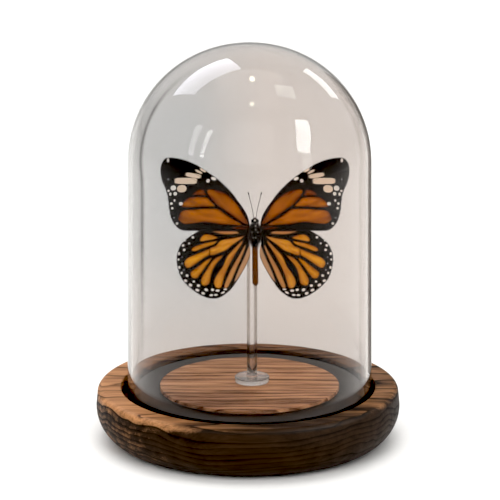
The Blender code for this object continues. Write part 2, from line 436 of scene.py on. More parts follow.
def limb_tree() -> NodeTree:
    """Makes the tree that turns marked paths into round limbs, ringed where a ripple is set.

    Returns:
        A tree that reads the point attribute "girth", a radius in metres.
    """
    sizes = {"Step": 0.4 * MM, "Ripple": 0.0, "Ripple Every": 0.6 * MM, "Sides": 8}
    tree, add, given = start_tree("limbs_along_paths", sizes)
    path = add(CURVE, {0: given["Geometry"]})
    even = add(EVEN, {"Curve": path, "Length": given["Step"]}, mode="LENGTH")
    girth = add(NAMED, {"Name": "girth"}, data_type="FLOAT")
    along = add("GeometryNodeSplineParameter").outputs["Length"]
    turns = add(MATH, {0: along, 1: given["Ripple Every"]}, operation="DIVIDE")
    phase = add(MATH, {0: turns, 1: 2 * math.pi}, operation="MULTIPLY")
    wave = add(MATH, {0: phase}, operation="SINE")
    swell = add(MATH, {0: wave, 1: given["Ripple"], 2: 1.0}, operation="MULTIPLY_ADD")
    size = add(MATH, {0: swell, 1: girth}, operation="MULTIPLY")
    circle = {"Resolution": given["Sides"], "Radius": 1.0}
    ring = add("GeometryNodeCurvePrimitiveCircle", circle, mode="RADIUS")
    swept = {"Curve": even, "Profile Curve": ring, "Scale": size, "Fill Caps": True}
    end_tree(add, given, add("GeometryNodeCurveToMesh", swept))
    return tree


def hair_tree(along_margin: bool) -> NodeTree:
    """Makes the tree that plants hairs, on a skin or along a marked margin.

    Args:
        along_margin: True for a path whose points carry a vector "outward",
            False for a skin whose points carry "fur", from 0 to 1.

    Returns:
        The tree, with its sizes as named inputs and a fixed seed.
    """
    sizes = {"Spacing": 0.3 * MM, "Density": 1.0e7, "Length": 1.2 * MM, "Width": 0.05 * MM, "Spread": 0.4}
    sizes |= {"Lean": (0.0, 0.0, 0.0), "Seed": 3}
    tree, add, given = start_tree("fringe_along_margin" if along_margin else "hairs_on_skin", sizes)
    seed = {"Seed": given["Seed"]}
    if along_margin:
        path = add(CURVE, {0: given["Geometry"]})
        planted = add(EVEN, {"Curve": path, "Length": given["Spacing"]}, mode="LENGTH")
        heading = add(NAMED, {"Name": "outward"}, data_type="FLOAT_VECTOR")
    else:
        fur = add(NAMED, {"Name": "fur"}, data_type="FLOAT")
        density = add(MATH, {0: fur, 1: given["Density"]}, operation="MULTIPLY")
        skin = {"Mesh": given["Geometry"], "Density": density, **seed}
        roots = add("GeometryNodeDistributePointsOnFaces", skin, distribute_method="RANDOM").outputs
        planted, heading = roots["Points"], roots["Normal"]
    stray = add(RANDOM, {0: (-1.0,) * 3, 1: (1.0,) * 3, **seed}, data_type="FLOAT_VECTOR")
    strayed = add(VECTOR_MATH, {0: stray, "Scale": given["Spread"]}, operation="SCALE")
    leaned = add(VECTOR_MATH, {0: heading, 1: given["Lean"]}, operation="ADD")
    aim = add(VECTOR_MATH, {0: leaned, 1: strayed}, operation="ADD")
    turn = add("FunctionNodeAlignRotationToVector", {"Vector": aim}, axis="Z")
    shortest, longest = 0.55, 1.15
    size = add(RANDOM, {2: shortest, 3: longest, **seed}, data_type="FLOAT")
    shape = {"Vertices": 3, "Side Segments": 1, "Radius Top": 0.0}
    hair = add("GeometryNodeMeshCone", {**shape, "Radius Bottom": given["Width"], "Depth": given["Length"]})
    spread = {"Points": planted, "Instance": hair, "Rotation": turn, "Scale": size}
    end_tree(add, given, add("GeometryNodeInstanceOnPoints", spread))
    return tree


def grow(name: str, mesh: Mesh, tree: NodeTree, **sizes: object) -> Mesh:
    """Runs a tree on a mesh and keeps the result as a plain mesh.

    Args:
        name: the new mesh's name.
        mesh: the paths or the skin that the tree reads.
        tree: the geometry tree.
        **sizes: values for the tree's named inputs, in small letters and with underscores.

    Returns:
        The plain mesh.
    """
    bearer = bpy.data.objects.new(f"{name}_bearer", mesh)
    bpy.context.scene.collection.objects.link(bearer)
    modifier = bearer.modifiers.new("Grow", "NODES")
    modifier.node_group = tree
    for socket in tree.interface.items_tree:
        key = socket.name.lower().replace(" ", "_")
        if socket.in_out == "INPUT" and key in sizes:
            modifier[socket.identifier] = sizes[key]
    graph = bpy.context.evaluated_depsgraph_get()
    grown = bpy.data.meshes.new_from_object(bearer.evaluated_get(graph))
    grown.name = name
    bpy.data.objects.remove(bearer, do_unlink=True)
    return grown


def path_mesh(name: str, paths: Sequence[np.ndarray], girths: Sequence[np.ndarray]) -> Mesh:
    """Makes a mesh of bare paths, each point with its girth.

    Args:
        name: the mesh's name.
        paths: points of each path, in millimetres.
        girths: a radius for each point, in millimetres.

    Returns:
        A mesh of edges.
    """
    mesh = bpy.data.meshes.new(name)
    edges, start = [], 0
    for path in paths:
        edges += [(start + i, start + i + 1) for i in range(len(path) - 1)]
        start += len(path)
    mesh.from_pydata(np.vstack(paths) * MM, edges, [])
    mesh.attributes.new("girth", "FLOAT", "POINT").data.foreach_set("value", np.concatenate(girths) * MM)
    return mesh


# Finishes


@dataclass(frozen=True)
class PlainSawnPine:
    """Turned softwood with growth rings about an axis along X, charred and brushed by choice."""

    name: str
    early: str
    late: str
    char: str = "#0c0b0a"
    ember: str = "#221912"
    ring_mm: float = 2.9
    heart_mm: tuple[float, float] = (-40.0, -190.0)
    swing_mm: float = 9.0
    season: Stops = (
        (0.0, "#000000"), (0.42, "#202020"), (0.78, "#b0b0b0"), (0.93, "#ffffff"), (1.0, "#080808"),
    )
    char_top_mm: float | None = None
    char_depth_mm: float = 6.0
    painted_shade_centre_mm: Point = (12.0, -62.0, 26.0)
    painted_shade_reach_mm: tuple[float, float] = (68.0, 8.0)
    painted_shade_per_mm: float = 0.0055
    roughness: float = 0.5
    mirror: float = 0.14
    relief_mm: float = 0.08
    streak: float = 0.8
    front_mm: tuple[float, float] = (5.0, -35.0)
    front_dark: float = 0.0

    def material(self) -> Material:
        """Makes the wood.

        The rings run as long lines on top and as wavy layers round the side, because the plank's heart
        lies below it. The eye gets pale early wood, dark late wood that brushing left proud, fine fibres,
        painted shade that darkens the front where it is asked for, and where it is charred, soot that is
        deepest low on the side, with painted shade laid into the char: low on the side, over the middle of
        the front and towards the right.

        Returns:
            The material.
        """
        made, add, shader = start_material(self.name)
        mm = add(MAPPING, {0: add(PLACE).outputs["Object"], "Scale": (1.0 / MM,) * 3})
        # Slow waves in the rings: 60 mm long along the grain and 18 mm across it
        slow = add(MAPPING, {0: mm, "Scale": (0.3, 1.0, 1.0)})
        wave = add(NOISE, {"Vector": slow, "Scale": 0.055, "Detail": 2.0, "Roughness": 0.45})
        centred = add(VECTOR_MATH, {0: wave.outputs["Color"], 1: (0.5,) * 3}, operation="SUBTRACT")
        swing = add(VECTOR_MATH, {0: centred, "Scale": self.swing_mm}, operation="SCALE")
        bent = add(VECTOR_MATH, {0: mm, 1: swing}, operation="ADD")
        axes = add(AXES, {0: bent}).outputs
        across = add(MATH, {0: axes["Y"], 1: self.heart_mm[0]}, operation="SUBTRACT")
        up = add(MATH, {0: axes["Z"], 1: self.heart_mm[1]}, operation="SUBTRACT")
        flat = add("ShaderNodeCombineXYZ", {0: across, 1: up})
        radius = add(VECTOR_MATH, {0: flat}, operation="LENGTH")
        # Rings of uneven width, each from pale early wood to a thin dark line of late wood
        rings = add(MATH, {0: radius, 1: self.ring_mm}, operation="DIVIDE")
        uneven = add(NOISE, {"W": rings, "Scale": 0.45, "Detail": 1.0}, noise_dimensions="1D")
        pace = add(MATH, {0: uneven, 1: 1.3, 2: rings}, operation="MULTIPLY_ADD")
        year = add(MATH, {0: pace}, operation="FRACT")
        late = add(RAMP, {0: year}, self.season)
        # Fibres: 0.25 mm wide really, drawn 0.5 mm wide and 14 mm long so that they show
        fine = add(MAPPING, {0: bent, "Scale": (0.07, 2.0, 2.0)})
        fibre = add(NOISE, {"Vector": fine, "Scale": 1.0, "Detail": 5.0, "Roughness": 0.62})
        # Streaks about 3 mm wide and 40 mm long
        long = add(MAPPING, {0: bent, "Scale": (0.025, 0.3, 0.3)})
        broad = add(NOISE, {"Vector": long, "Scale": 1.0, "Detail": 3.0, "Roughness": 0.55})
        lateness = add(MATH, {0: late, 1: 0.42, 2: 0.1 - 0.5 * self.streak}, operation="MULTIPLY_ADD")
        fibrous = add(MATH, {0: fibre, 1: 0.6, 2: lateness}, operation="MULTIPLY_ADD")
        streaked = add(MATH, {0: broad, 1: self.streak, 2: fibrous}, operation="MULTIPLY_ADD")
        # Painted shade: the wood is darkened towards the front
        far, near = self.front_mm
        front = add(RANGE, {"Value": axes["Y"], "From Min": far, "From Max": near, "To Max": self.front_dark})
        oiled_and_shaded = add(MATH, {0: streaked, 1: front}, operation="ADD")
        tone = add(RANGE, {"Value": oiled_and_shaded, "From Min": 0.25, "From Max": 0.85})
        wood = add(MIX, {0: tone, 6: self.early, 7: self.late}, data_type="RGBA")
        if self.char_top_mm is not None:
            wood = self.add_char_and_shade(add, mm, streaked, tone, wood)
        dull = {"To Min": self.roughness - 0.08, "To Max": self.roughness + 0.16}
        gloss = add(RANGE, {"Value": streaked, "From Min": 0.2, **dull})
        relief = add(BUMP, {"Strength": 0.9, "Distance": self.relief_mm * MM, "Height": streaked})
        finish = {"Base Color": wood, "Roughness": gloss, "Specular IOR Level": self.mirror, "Normal": relief}
        set_inputs(shader, finish)
        return made

    def add_char_and_shade(self, add: Adder, mm: Node, streaked: Node, tone: Node, wood: Node) -> Node:
        """Burns the wood from its top edge downwards, and lays painted shade into the char.

        Args:
            add: the call that adds a node to the material's tree.
            mm: the place in millimetres.
            streaked: the rings' and fibres' strength.
            tone: the same from 0 to 1.
            wood: the bare wood's colour.

        Returns:
            The node with the charred wood's colour.
        """
        height = add(AXES, {0: mm}).outputs
        # Char by height, deepest low on the side, where it also stands in for painted shade
        levels = {"From Min": self.char_top_mm, "From Max": self.char_top_mm - self.char_depth_mm}
        depth = add(RANGE, {"Value": height["Z"], **levels, "To Min": 0.25, "To Max": 1.32})
        # Blotches about 17 mm across and 40 mm along the grain
        drift = add(MAPPING, {0: mm, "Scale": (0.4, 1.0, 1.0)})
        blotch = add(NOISE, {"Vector": drift, "Scale": 0.06, "Detail": 4.0, "Roughness": 0.62})
        burnt_and_shaded = add(MATH, {0: blotch, 1: 0.5, 2: depth}, operation="MULTIPLY_ADD")
        # Painted shade: darker over the middle of the front, and darker on the right than on the left
        away = add(VECTOR_MATH, {0: mm, 1: self.painted_shade_centre_mm}, operation="DISTANCE")
        far, near = self.painted_shade_reach_mm
        reach = {"Value": away, "From Min": far, "From Max": near, "To Max": 0.6}
        painted_shade = add(RANGE, reach, interpolation_type="SMOOTHSTEP")
        burnt_and_shaded = add(MATH, {0: burnt_and_shaded, 1: painted_shade}, operation="ADD")
        burnt_and_shaded = add(MATH, {0: height["X"], 1: self.painted_shade_per_mm, 2: burnt_and_shaded}, operation="MULTIPLY_ADD")
        # The soot here carries both the char and the painted shade
        soot = add(MATH, {0: streaked, 1: 0.9, 2: burnt_and_shaded}, operation="MULTIPLY_ADD")
        share = add(RANGE, {"Value": soot, "From Min": 0.96, "From Max": 1.7, "To Max": 0.97})
        coal = add(MIX, {0: tone, 6: self.ember, 7: self.char}, data_type="RGBA")
        return add(MIX, {0: share, 6: wood, 7: coal}, data_type="RGBA")


@dataclass(frozen=True)
class StainedPlinthWood:
    """Black stained wood with a thin satin lacquer."""

    colour: str = "#110f0e"
    grey: str = "#211f1d"
    roughness: float = 0.34
    relief_mm: float = 0.03

    def material(self) -> Material:
        """Makes the stain.

        Returns:
            A near black material with faint fibres along X, and enough gloss for soft reflections.
        """
        made, add, shader = start_material("black_stained_lacquered_wood")
        # Fibres 0.6 mm wide and 20 mm long
        fine = add(MAPPING, {0: add(PLACE).outputs["Object"], "Scale": (50.0, 1600.0, 1600.0)})
        fibre = add(NOISE, {"Vector": fine, "Scale": 1.0, "Detail": 4.0})
        stain = add(MIX, {0: fibre, 6: self.colour, 7: self.grey}, data_type="RGBA")
        gloss = add(RANGE, {"Value": fibre, "To Min": self.roughness, "To Max": self.roughness + 0.18})
        relief = add(BUMP, {"Strength": 0.5, "Distance": self.relief_mm * MM, "Height": fibre})
        set_inputs(shader, {"Base Color": stain, "Roughness": gloss, "Normal": relief})
        return made


@dataclass(frozen=True)
class ClearSolid:
    """A clear solid, see-through by plain transmission, with painted shade that greys it where its sides turn
    away from the eye.
    """

    name: str
    steps: Stops
    polish: float = 0.0
    ior: float = 1.49

    def material(self) -> Material:
        """Makes the clear solid.

        Returns:
            A material that is clear in its middle and takes the tint of its steps towards its edges.
        """
        made, add, shader = start_material(self.name)
        # Painted shade: the tint greys the solid where it turns away from the eye
        tint = add(RAMP, {0: add(FACING).outputs["Facing"]}, self.steps)
        clear = {"Roughness": 0.0, "IOR": self.ior, "Transmission Weight": 1.0}
        set_inputs(shader, {"Base Color": tint, "Coat Weight": self.polish, **clear})
        return made


@dataclass(frozen=True)
class BlownGlass:
    """Clear blown glass, its faces coated against glare so that black scales stay black behind it.

    The steps give its tint by how far the outer side turns away from the eye, as painted shade: the
    dark lines and grey bands at its edges stand in for refraction. The left side is painted a cooler grey
    with a dark line inside a light band; the right side and the foot are painted warmer and clearer, and
    darken at the edge; over the thin top the painted dark edge is a fine line.
    """

    left: Stops = (
        (0.0, "#d4d4d4"), (0.5, "#d4d4d4"), (0.525, "#a9a7a5"), (0.55, "#1c1a19"), (0.582, "#a9a7a5"),
        (0.62, "#b7b6b4"), (0.8, "#b1b0ae"), (0.93, "#969493"), (1.0, "#4a4846"),
    )
    right: Stops = (
        (0.0, "#dfdad7"), (0.56, "#dfdad7"), (0.6, "#bdb4ae"), (0.66, "#cbc3bd"), (0.74, "#aea59f"),
        (0.81, "#38322e"), (1.0, "#0c0a09"),
    )
    top: Stops = ((0.0, "#dfdad7"), (0.7, "#dfdad7"), (0.82, "#c4bcb6"), (0.89, "#4a433e"), (1.0, "#0c0a09"))
    inner_left: str = "#d4d4d4"
    inner_right: str = "#dfdad7"
    side_mm: tuple[float, float] = (-30.0, 12.0)
    foot_mm: tuple[float, float] = (100.0, 30.0)
    crown_mm: tuple[float, float] = (162.0, 182.0)
    ior: float = 1.5
    mirror: float = 0.15

    def material(self) -> Material:
        """Makes the glass.

        Returns:
            A material that is see-through by plain transmission.
        """
        made, add, shader = start_material("blown_coated_clear_glass")
        axes = add(AXES, {0: add(PLACE).outputs["Object"]}).outputs
        shares = []
        spans = (
            ("X", self.side_mm, "SMOOTHSTEP"), ("Z", self.foot_mm, "LINEAR"), ("Z", self.crown_mm, "LINEAR"),
        )
        for axis, (start, end), kind in spans:
            span = {"Value": axes[axis], "From Min": start * MM, "From Max": end * MM}
            shares.append(add(RANGE, span, interpolation_type=kind))
        side, low, high = shares
        warm = add(MATH, {0: side, 1: low}, operation="MAXIMUM")
        # Painted shade: the ramps grey and darken the glass where it turns from the eye, standing in for
        # refraction at its edges, with a different painted shade on the left and on the right
        facing = add(FACING).outputs["Facing"]
        left, right, top = (add(RAMP, {0: facing}, steps) for steps in (self.left, self.right, self.top))
        wall = add(MIX, {0: warm, 6: left, 7: right}, data_type="RGBA")
        outer = add(MIX, {0: high, 6: wall, 7: top}, data_type="RGBA")
        inner = add(MIX, {0: warm, 6: self.inner_left, 7: self.inner_right}, data_type="RGBA")
        mark = add(MARK, attribute_name="inner").outputs["Fac"]
        tint = add(MIX, {0: mark, 6: outer, 7: inner}, data_type="RGBA")
        clear = {"Roughness": 0.0, "IOR": self.ior, "Transmission Weight": 1.0}
        set_inputs(shader, {"Base Color": tint, "Specular Tint": (self.mirror,) * 3 + (1.0,), **clear})
        return made


@dataclass(frozen=True)
class WingScales:
    """Rows of tiny overlapping scales on a wing, dull and dusty, with the pattern of its kind."""

    name: str
    warm: str
    deep: str
    second: str
    under: str
    black: str = "#0a0806"
    soot: str = "#1e150e"
    layers: tuple[tuple[str, str, float, float], ...] = (
        ("patch", "#0c0c12", 0.25, 1.0), ("faint", "#9c99a0", 0.2, 0.8),
        ("cream", "#fbe4cb", 0.24, 1.0), ("white", "#fbf6ee", 0.18, 1.0),
    )
    ragged_mm: float = 0.36
    under_share: float = 0.45
    relief_mm: float = 0.05

    def material(self) -> Material:
        """Makes the scales.

        The pattern comes from distances in millimetres that the wing's points carry: inside the orange
        cells, inside the pale spots and inside the dark patch. The edges are ragged by a scale's width
        and the cells darken towards their veins, as scales overlap there. Each layer has its mark, its
        colour, how softly its edge fades in millimetres and how far it covers what lies under it.

        Returns:
            The material.
        """
        made, add, shader = start_material(self.name)
        keys = ("cell", "tone", "cream", "white", "faint", "patch", "upper")
        marks = {key: add(MARK, attribute_name=key).outputs["Fac"] for key in keys}
        chart = add("ShaderNodeUVMap", uv_map="fan")
        # Rows of scales: 0.1 mm really, drawn 0.35 mm so that they show
        dust = add(NOISE, {"Vector": add(PLACE).outputs["Object"], "Scale": 2900.0, "Detail": 2.0})
        ragged = add(MATH, {0: dust, 1: self.ragged_mm, 2: -self.ragged_mm / 2}, operation="MULTIPLY_ADD")
        # Streaks along the cells: a seventieth of a turn wide and 9 mm long
        comb = add(MAPPING, {0: chart, "Scale": (70.0, 0.11, 1.0)})
        streak = add(NOISE, {"Vector": comb, "Scale": 1.0, "Detail": 3.0, "Roughness": 0.6})
        edge = add(MATH, {0: marks["cell"], 1: ragged}, operation="ADD")
        glow = add(RANGE, {"Value": edge, "From Max": 1.7, "To Max": 0.62})
        lit = add(MATH, {0: streak, 1: 2.4, 2: glow}, operation="MULTIPLY_ADD")
        share = add(RANGE, {"Value": lit, "From Min": 1.0, "From Max": 2.15})
        orange = add(MIX, {0: share, 6: self.deep, 7: self.warm}, data_type="RGBA")
        toned = add(MIX, {0: marks["tone"], 6: orange, 7: self.second}, data_type="RGBA")
        fade = {"Value": edge, "From Min": -0.14, "From Max": 0.42}
        inside = add(RANGE, fade, interpolation_type="SMOOTHSTEP")
        # Black scales are never even: a little brown dust lies along the veins
        sooty = add(MIX, {0: streak, 6: self.black, 7: self.soot}, data_type="RGBA")
        colour = add(MIX, {0: inside, 6: sooty, 7: toned}, data_type="RGBA")
        for key, tint, soft, strength in self.layers:
            wavy = add(MATH, {0: ragged, 1: 0.6, 2: marks[key]}, operation="MULTIPLY_ADD")
            fade = {"Value": wavy, "From Min": -soft / 2, "From Max": soft / 2, "To Max": strength}
            cover = add(RANGE, fade, interpolation_type="SMOOTHSTEP")
            colour = add(MIX, {0: cover, 6: colour, 7: tint}, data_type="RGBA")
        paler = add(MIX, {0: self.under_share, 6: colour, 7: self.under}, data_type="RGBA")
        sided = add(MIX, {0: marks["upper"], 6: paler, 7: colour}, data_type="RGBA")
        height = add(MATH, {0: streak, 1: 0.6, 2: dust}, operation="MULTIPLY_ADD")
        relief = add(BUMP, {"Strength": 0.6, "Distance": self.relief_mm * MM, "Height": height})
        dusty = {"Roughness": 0.62, "Specular IOR Level": 0.15, "Sheen Weight": 0.03, "Sheen Roughness": 0.4}
        set_inputs(shader, {"Base Color": sided, "Normal": relief, **dusty})
        return made


@dataclass(frozen=True)
class Chitin:
    """Dry insect skin with a satin gleam, browner where the mark "brown" says."""

    name: str
    dark: str = "#080605"
    brown: str = "#723e0e"
    pale: str = "#e9e2d6"
    grain_mm: float = 0.35
    roughness: float = 0.48
    mirror: float = 0.15
    relief_mm: float = 0.06

    def material(self) -> Material:
        """Makes the skin.

        Returns:
            A material with short dusty scales over a dark shell, and pale dots where the mark "dot" says.
        """
        made, add, shader = start_material(self.name)
        grain = {"Scale": 1.0 / (self.grain_mm * MM), "Detail": 3.0}
        dust = add(NOISE, {"Vector": add(PLACE).outputs["Object"], **grain})
        brown, dot = (add(MARK, attribute_name=key).outputs["Fac"] for key in ("brown", "dot"))
        shade = add(RANGE, {"Value": dust, "From Min": 0.3, "From Max": 0.7, "To Min": 0.55, "To Max": 1.25})
        base = add(MIX, {0: brown, 6: self.dark, 7: self.brown}, data_type="RGBA")
        mottled = add(VECTOR_MATH, {0: base, "Scale": shade}, operation="SCALE")
        dotted = add(MIX, {0: dot, 6: mottled, 7: self.pale}, data_type="RGBA")
        relief = add(BUMP, {"Strength": 0.7, "Distance": self.relief_mm * MM, "Height": dust})
        satin = {"Roughness": self.roughness, "Specular IOR Level": self.mirror}
        set_inputs(shader, {"Base Color": dotted, "Normal": relief, **satin})
        return made


@dataclass(frozen=True)
class Speckled:
    """A dull surface whose colour changes a little from speck to speck, such as hair, paper or card."""

    name: str
    dark: str
    light: str
    specks_per_mm: float
    roughness: float
    others: tuple[tuple[str, float], ...] = ()
    detail: float = 2.0

    def material(self) -> Material:
        """Makes the surface.

        Returns:
            A material that goes from the dark to the light tone from speck to speck.
        """
        made, add, shader = start_material(self.name)
        specks = {"Scale": self.specks_per_mm / MM, "Detail": self.detail}
        speck = add(NOISE, {"Vector": add(PLACE).outputs["Object"], **specks})
        mix = add(MIX, {0: speck, 6: self.dark, 7: self.light}, data_type="RGBA")
        set_inputs(shader, {"Base Color": mix, "Roughness": self.roughness, **dict(self.others)})
        return made


# Wooden base, plinth, disc, dome and stand


@dataclass
class TurnedBase:
    """The dark turned base with its flat rim, round lower edge and recess."""

    radius: float = 68.3
    top: float = 25.8
    belly_height: float = 17.4
    belly_depth: float = 17.2
    shoulder: float = 2.8
    setback: float = 0.5
    recess_radius: float = 57.2
    recess_floor: float = 18.0
    rim_ease: float = 0.6
    steps: int = 256
    finish: PlainSawnPine = field(
        default_factory=lambda: PlainSawnPine(
            "charred_brushed_pine", "#b98356", "#4a2c18", char_top_mm=27.0, mirror=0.1, roughness=0.56
        )
    )

    def profile(self) -> Profile:
        """Works out the base's outline.

        Returns:
            Radius and height from the recess floor's middle round to the underside's middle.
        """
        points = [(0.0, self.recess_floor)]
        points += [(self.recess_radius * k / 8, self.recess_floor) for k in range(1, 9)]
        ease = self.rim_ease
        depth = self.top - ease - self.recess_floor
        points += [(self.recess_radius, self.recess_floor + depth * k / 4) for k in range(1, 4)]
        points += arc((self.recess_radius + ease, self.top - ease), (ease, ease), 180, 90, 6)
        shoulder_r = self.radius - self.setback - self.shoulder
        start = self.recess_radius + ease
        points += [(start + (shoulder_r - start) * k / 5, self.top) for k in range(1, 5)]
        points += arc((shoulder_r, self.top - self.shoulder), (self.shoulder, self.shoulder), 90, 6, 12)
        belly = (self.radius - self.belly_depth, self.belly_height)
        points += arc(belly, (self.belly_depth, self.belly_height), 0, -90, 32)
        points += [(belly[0] * k / 6, 0.0) for k in range(5, -1, -1)]
        return points

    def build(self) -> None:
        """Turns the base and dresses it."""
        mesh = turned_mesh("base_wood", self.profile(), self.steps)
        show_piece("base_wood", mesh, self.finish.material(), "charred_wood", "wooden_base")


@dataclass
class RoundSlab:
    """A low round slab that lies in the recess, its upper edge eased."""

    name: str
    node: str
    slot: str
    radius: float
    bottom: float
    top: float
    centre_x: float = 0.7
    edge: float = 0.4
    steps: int = 192

    def build(self, material: Material) -> None:
        """Turns the slab.

        Args:
            material: its finish.
        """
        points = [(0.0, self.top)] + [((self.radius - self.edge) * k / 6, self.top) for k in range(1, 6)]
        points += arc((self.radius - self.edge, self.top - self.edge), (self.edge, self.edge), 90, 0, 5)
        points += [(self.radius, self.bottom), (0.0, self.bottom)]
        mesh = turned_mesh(self.name, points, self.steps, (self.centre_x, 0.0))
        show_piece(self.name, mesh, material, self.slot, self.node)


@dataclass
class GlassDome:
    """The blown dome: a tube closed by a round top, with a fire-rounded open rim."""

    radius: float = 55.0
    wall: float = 2.2
    wall_at_top: float = 1.0
    rise: float = 54.2
    shoulder_height: float = 131.3
    fullness: float = 2.05
    foot: float = 18.3
    centre_x: float = 0.7
    steps: int = 256

    def profile(self) -> Profile:
        """Works out the wall's outline.

        Returns:
            Radius and height down the outer side, round the rim and up the inner side.
        """
        lip = self.wall / 2
        inner = self.radius - self.wall
        low = self.foot + lip
        sides = [low + (self.shoulder_height - low) * k / 12 for k in range(1, 12)]
        points = arc((0.0, self.shoulder_height), (self.radius, self.rise), 90, 0, 60, self.fullness)
        points += [(self.radius, z) for z in reversed(sides)]
        points += arc((self.radius - lip, low), (lip, lip), 0, -180, 12)
        points += [(inner, z) for z in sides]
        crown = (inner, self.rise - self.wall_at_top)
        points += arc((0.0, self.shoulder_height), crown, 0, 90, 60, self.fullness)
        return points

    def build(self) -> None:
        """Turns the dome, marks its inner side and dresses it in clear glass."""
        mesh = turned_mesh("dome_blown", self.profile(), self.steps, (self.centre_x, 0.0))
        inner = []
        for vertex in mesh.vertices:
            level = min(vertex.co.z, self.shoulder_height * MM)
            away = vertex.co - Vector((self.centre_x * MM, 0.0, level))
            inner.append(float(away.dot(vertex.normal) < 0.0))
        mesh.attributes.new("inner", "FLOAT", "POINT").data.foreach_set("value", inner)
        show_piece("dome_blown", mesh, BlownGlass().material(), "dome_glass", "glass_dome")


@dataclass
class ClearStand:
    """The clear cast rod in its disc foot."""

    x: float = 1.8
    y: float = 3.4
    bottom: float = 27.4
    thickness: float = 2.4
    foot_radius: float = 7.85
    foot_ease: float = 0.5
    lower_ease: float = 0.2
    collar_radius: float = 2.6
    collar: float = 0.9
    collar_ease: float = 0.25
    fillet: float = 0.3
    rod_radius: float = 2.3
    rod_top: float = 99.0
    rod_ease: float = 0.3
    rod_foot_ease: float = 0.1
    gap: float = 0.3
    steps: int = 96

    def foot_profile(self) -> Profile:
        """Works out the foot's outline.

        Returns:
            Radius and height from the collar's top down to the underside's middle.
        """
        top = self.bottom + self.thickness
        high = top + self.collar
        ease, fillet = self.collar_ease, self.fillet
        points = [(0.0, high)]
        points += arc((self.collar_radius - ease, high - ease), (ease, ease), 90, 0, 4)
        points += arc((self.collar_radius + fillet, top + fillet), (fillet, fillet), 180, 270, 4)
        ease, low = self.foot_ease, self.lower_ease
        points += arc((self.foot_radius - ease, top - ease), (ease, ease), 90, 0, 6)
        points += arc((self.foot_radius - low, self.bottom + low), (low, low), 0, -90, 3)
        return points + [(0.0, self.bottom)]

    def rod_profile(self) -> Profile:
        """Works out the outline of the rod, whose polished ends are slightly eased.

        Returns:
            Radius and height from the top down.
        """
        bottom = self.bottom + self.thickness + self.collar + self.gap
        ease, low = self.rod_ease, self.rod_foot_ease
        points = [(0.0, self.rod_top)]
        points += arc((self.rod_radius - ease, self.rod_top - ease), (ease, ease), 90, 0, 5)
        points += [(self.rod_radius, self.rod_top - (self.rod_top - bottom) * k / 10) for k in range(1, 10)]
        points += arc((self.rod_radius - low, bottom + low), (low, low), 0, -90, 2)
        return points + [(0.0, bottom)]

    def build(self) -> None:
        """Turns the foot and the rod in the same clear acrylic."""
        # Cast acrylic, polished: clear through the middle; the rod's sides are painted as two grey bands
        # of shade that stand in for refraction
        bright = ((0.0, "#ffffff"), (0.7, "#fcfaf8"), (1.0, "#e2ddd7"))
        banded = (
            (0.0, "#ffffff"), (0.07, "#fbf9f7"), (0.16, "#a29a93"), (0.5, "#b3aba4"), (0.8, "#cec8c2"),
            (1.0, "#7a736c"),
        )
        rows = (
            ("foot", self.foot_profile(), ClearSolid("polished_cast_acrylic", bright, polish=1.0)),
            ("rod", self.rod_profile(), ClearSolid("polished_drawn_acrylic", banded)),
        )
        for word, profile, finish in rows:
            mesh = turned_mesh(f"{word}_clear", profile, self.steps, (self.x, self.y))
            show_piece(f"{word}_clear", mesh, finish.material(), "clear_acrylic", f"stand_{word}")


# Wings


@dataclass(frozen=True)
class Cell:
    """An orange cell between veins: its outline, and how far its colour leans to the wing's second tone."""

    outline: tuple[Point, ...]
    tone: float = 0.0


@dataclass(frozen=True)
class Spot:
    """A pale spot, in millimetres on the wing."""

    u: float
    v: float
    half_u: float
    half_v: float
    turn: float = 0.0
    tone: SpotTone = SpotTone.WHITE
    square: float = 2.3


@dataclass(frozen=True)
class WingPlan:
    """What a kind of wing looks like.

    Places are in millimetres: u outwards from the body's middle, v up from the thorax's middle.
    """

    outline: tuple[Point, ...]
    cells: tuple[Cell, ...]
    veins: tuple[tuple[Point, ...], ...]
    spots: tuple[Spot, ...]
    hub: Point
    patch: tuple[Point, ...] = ()


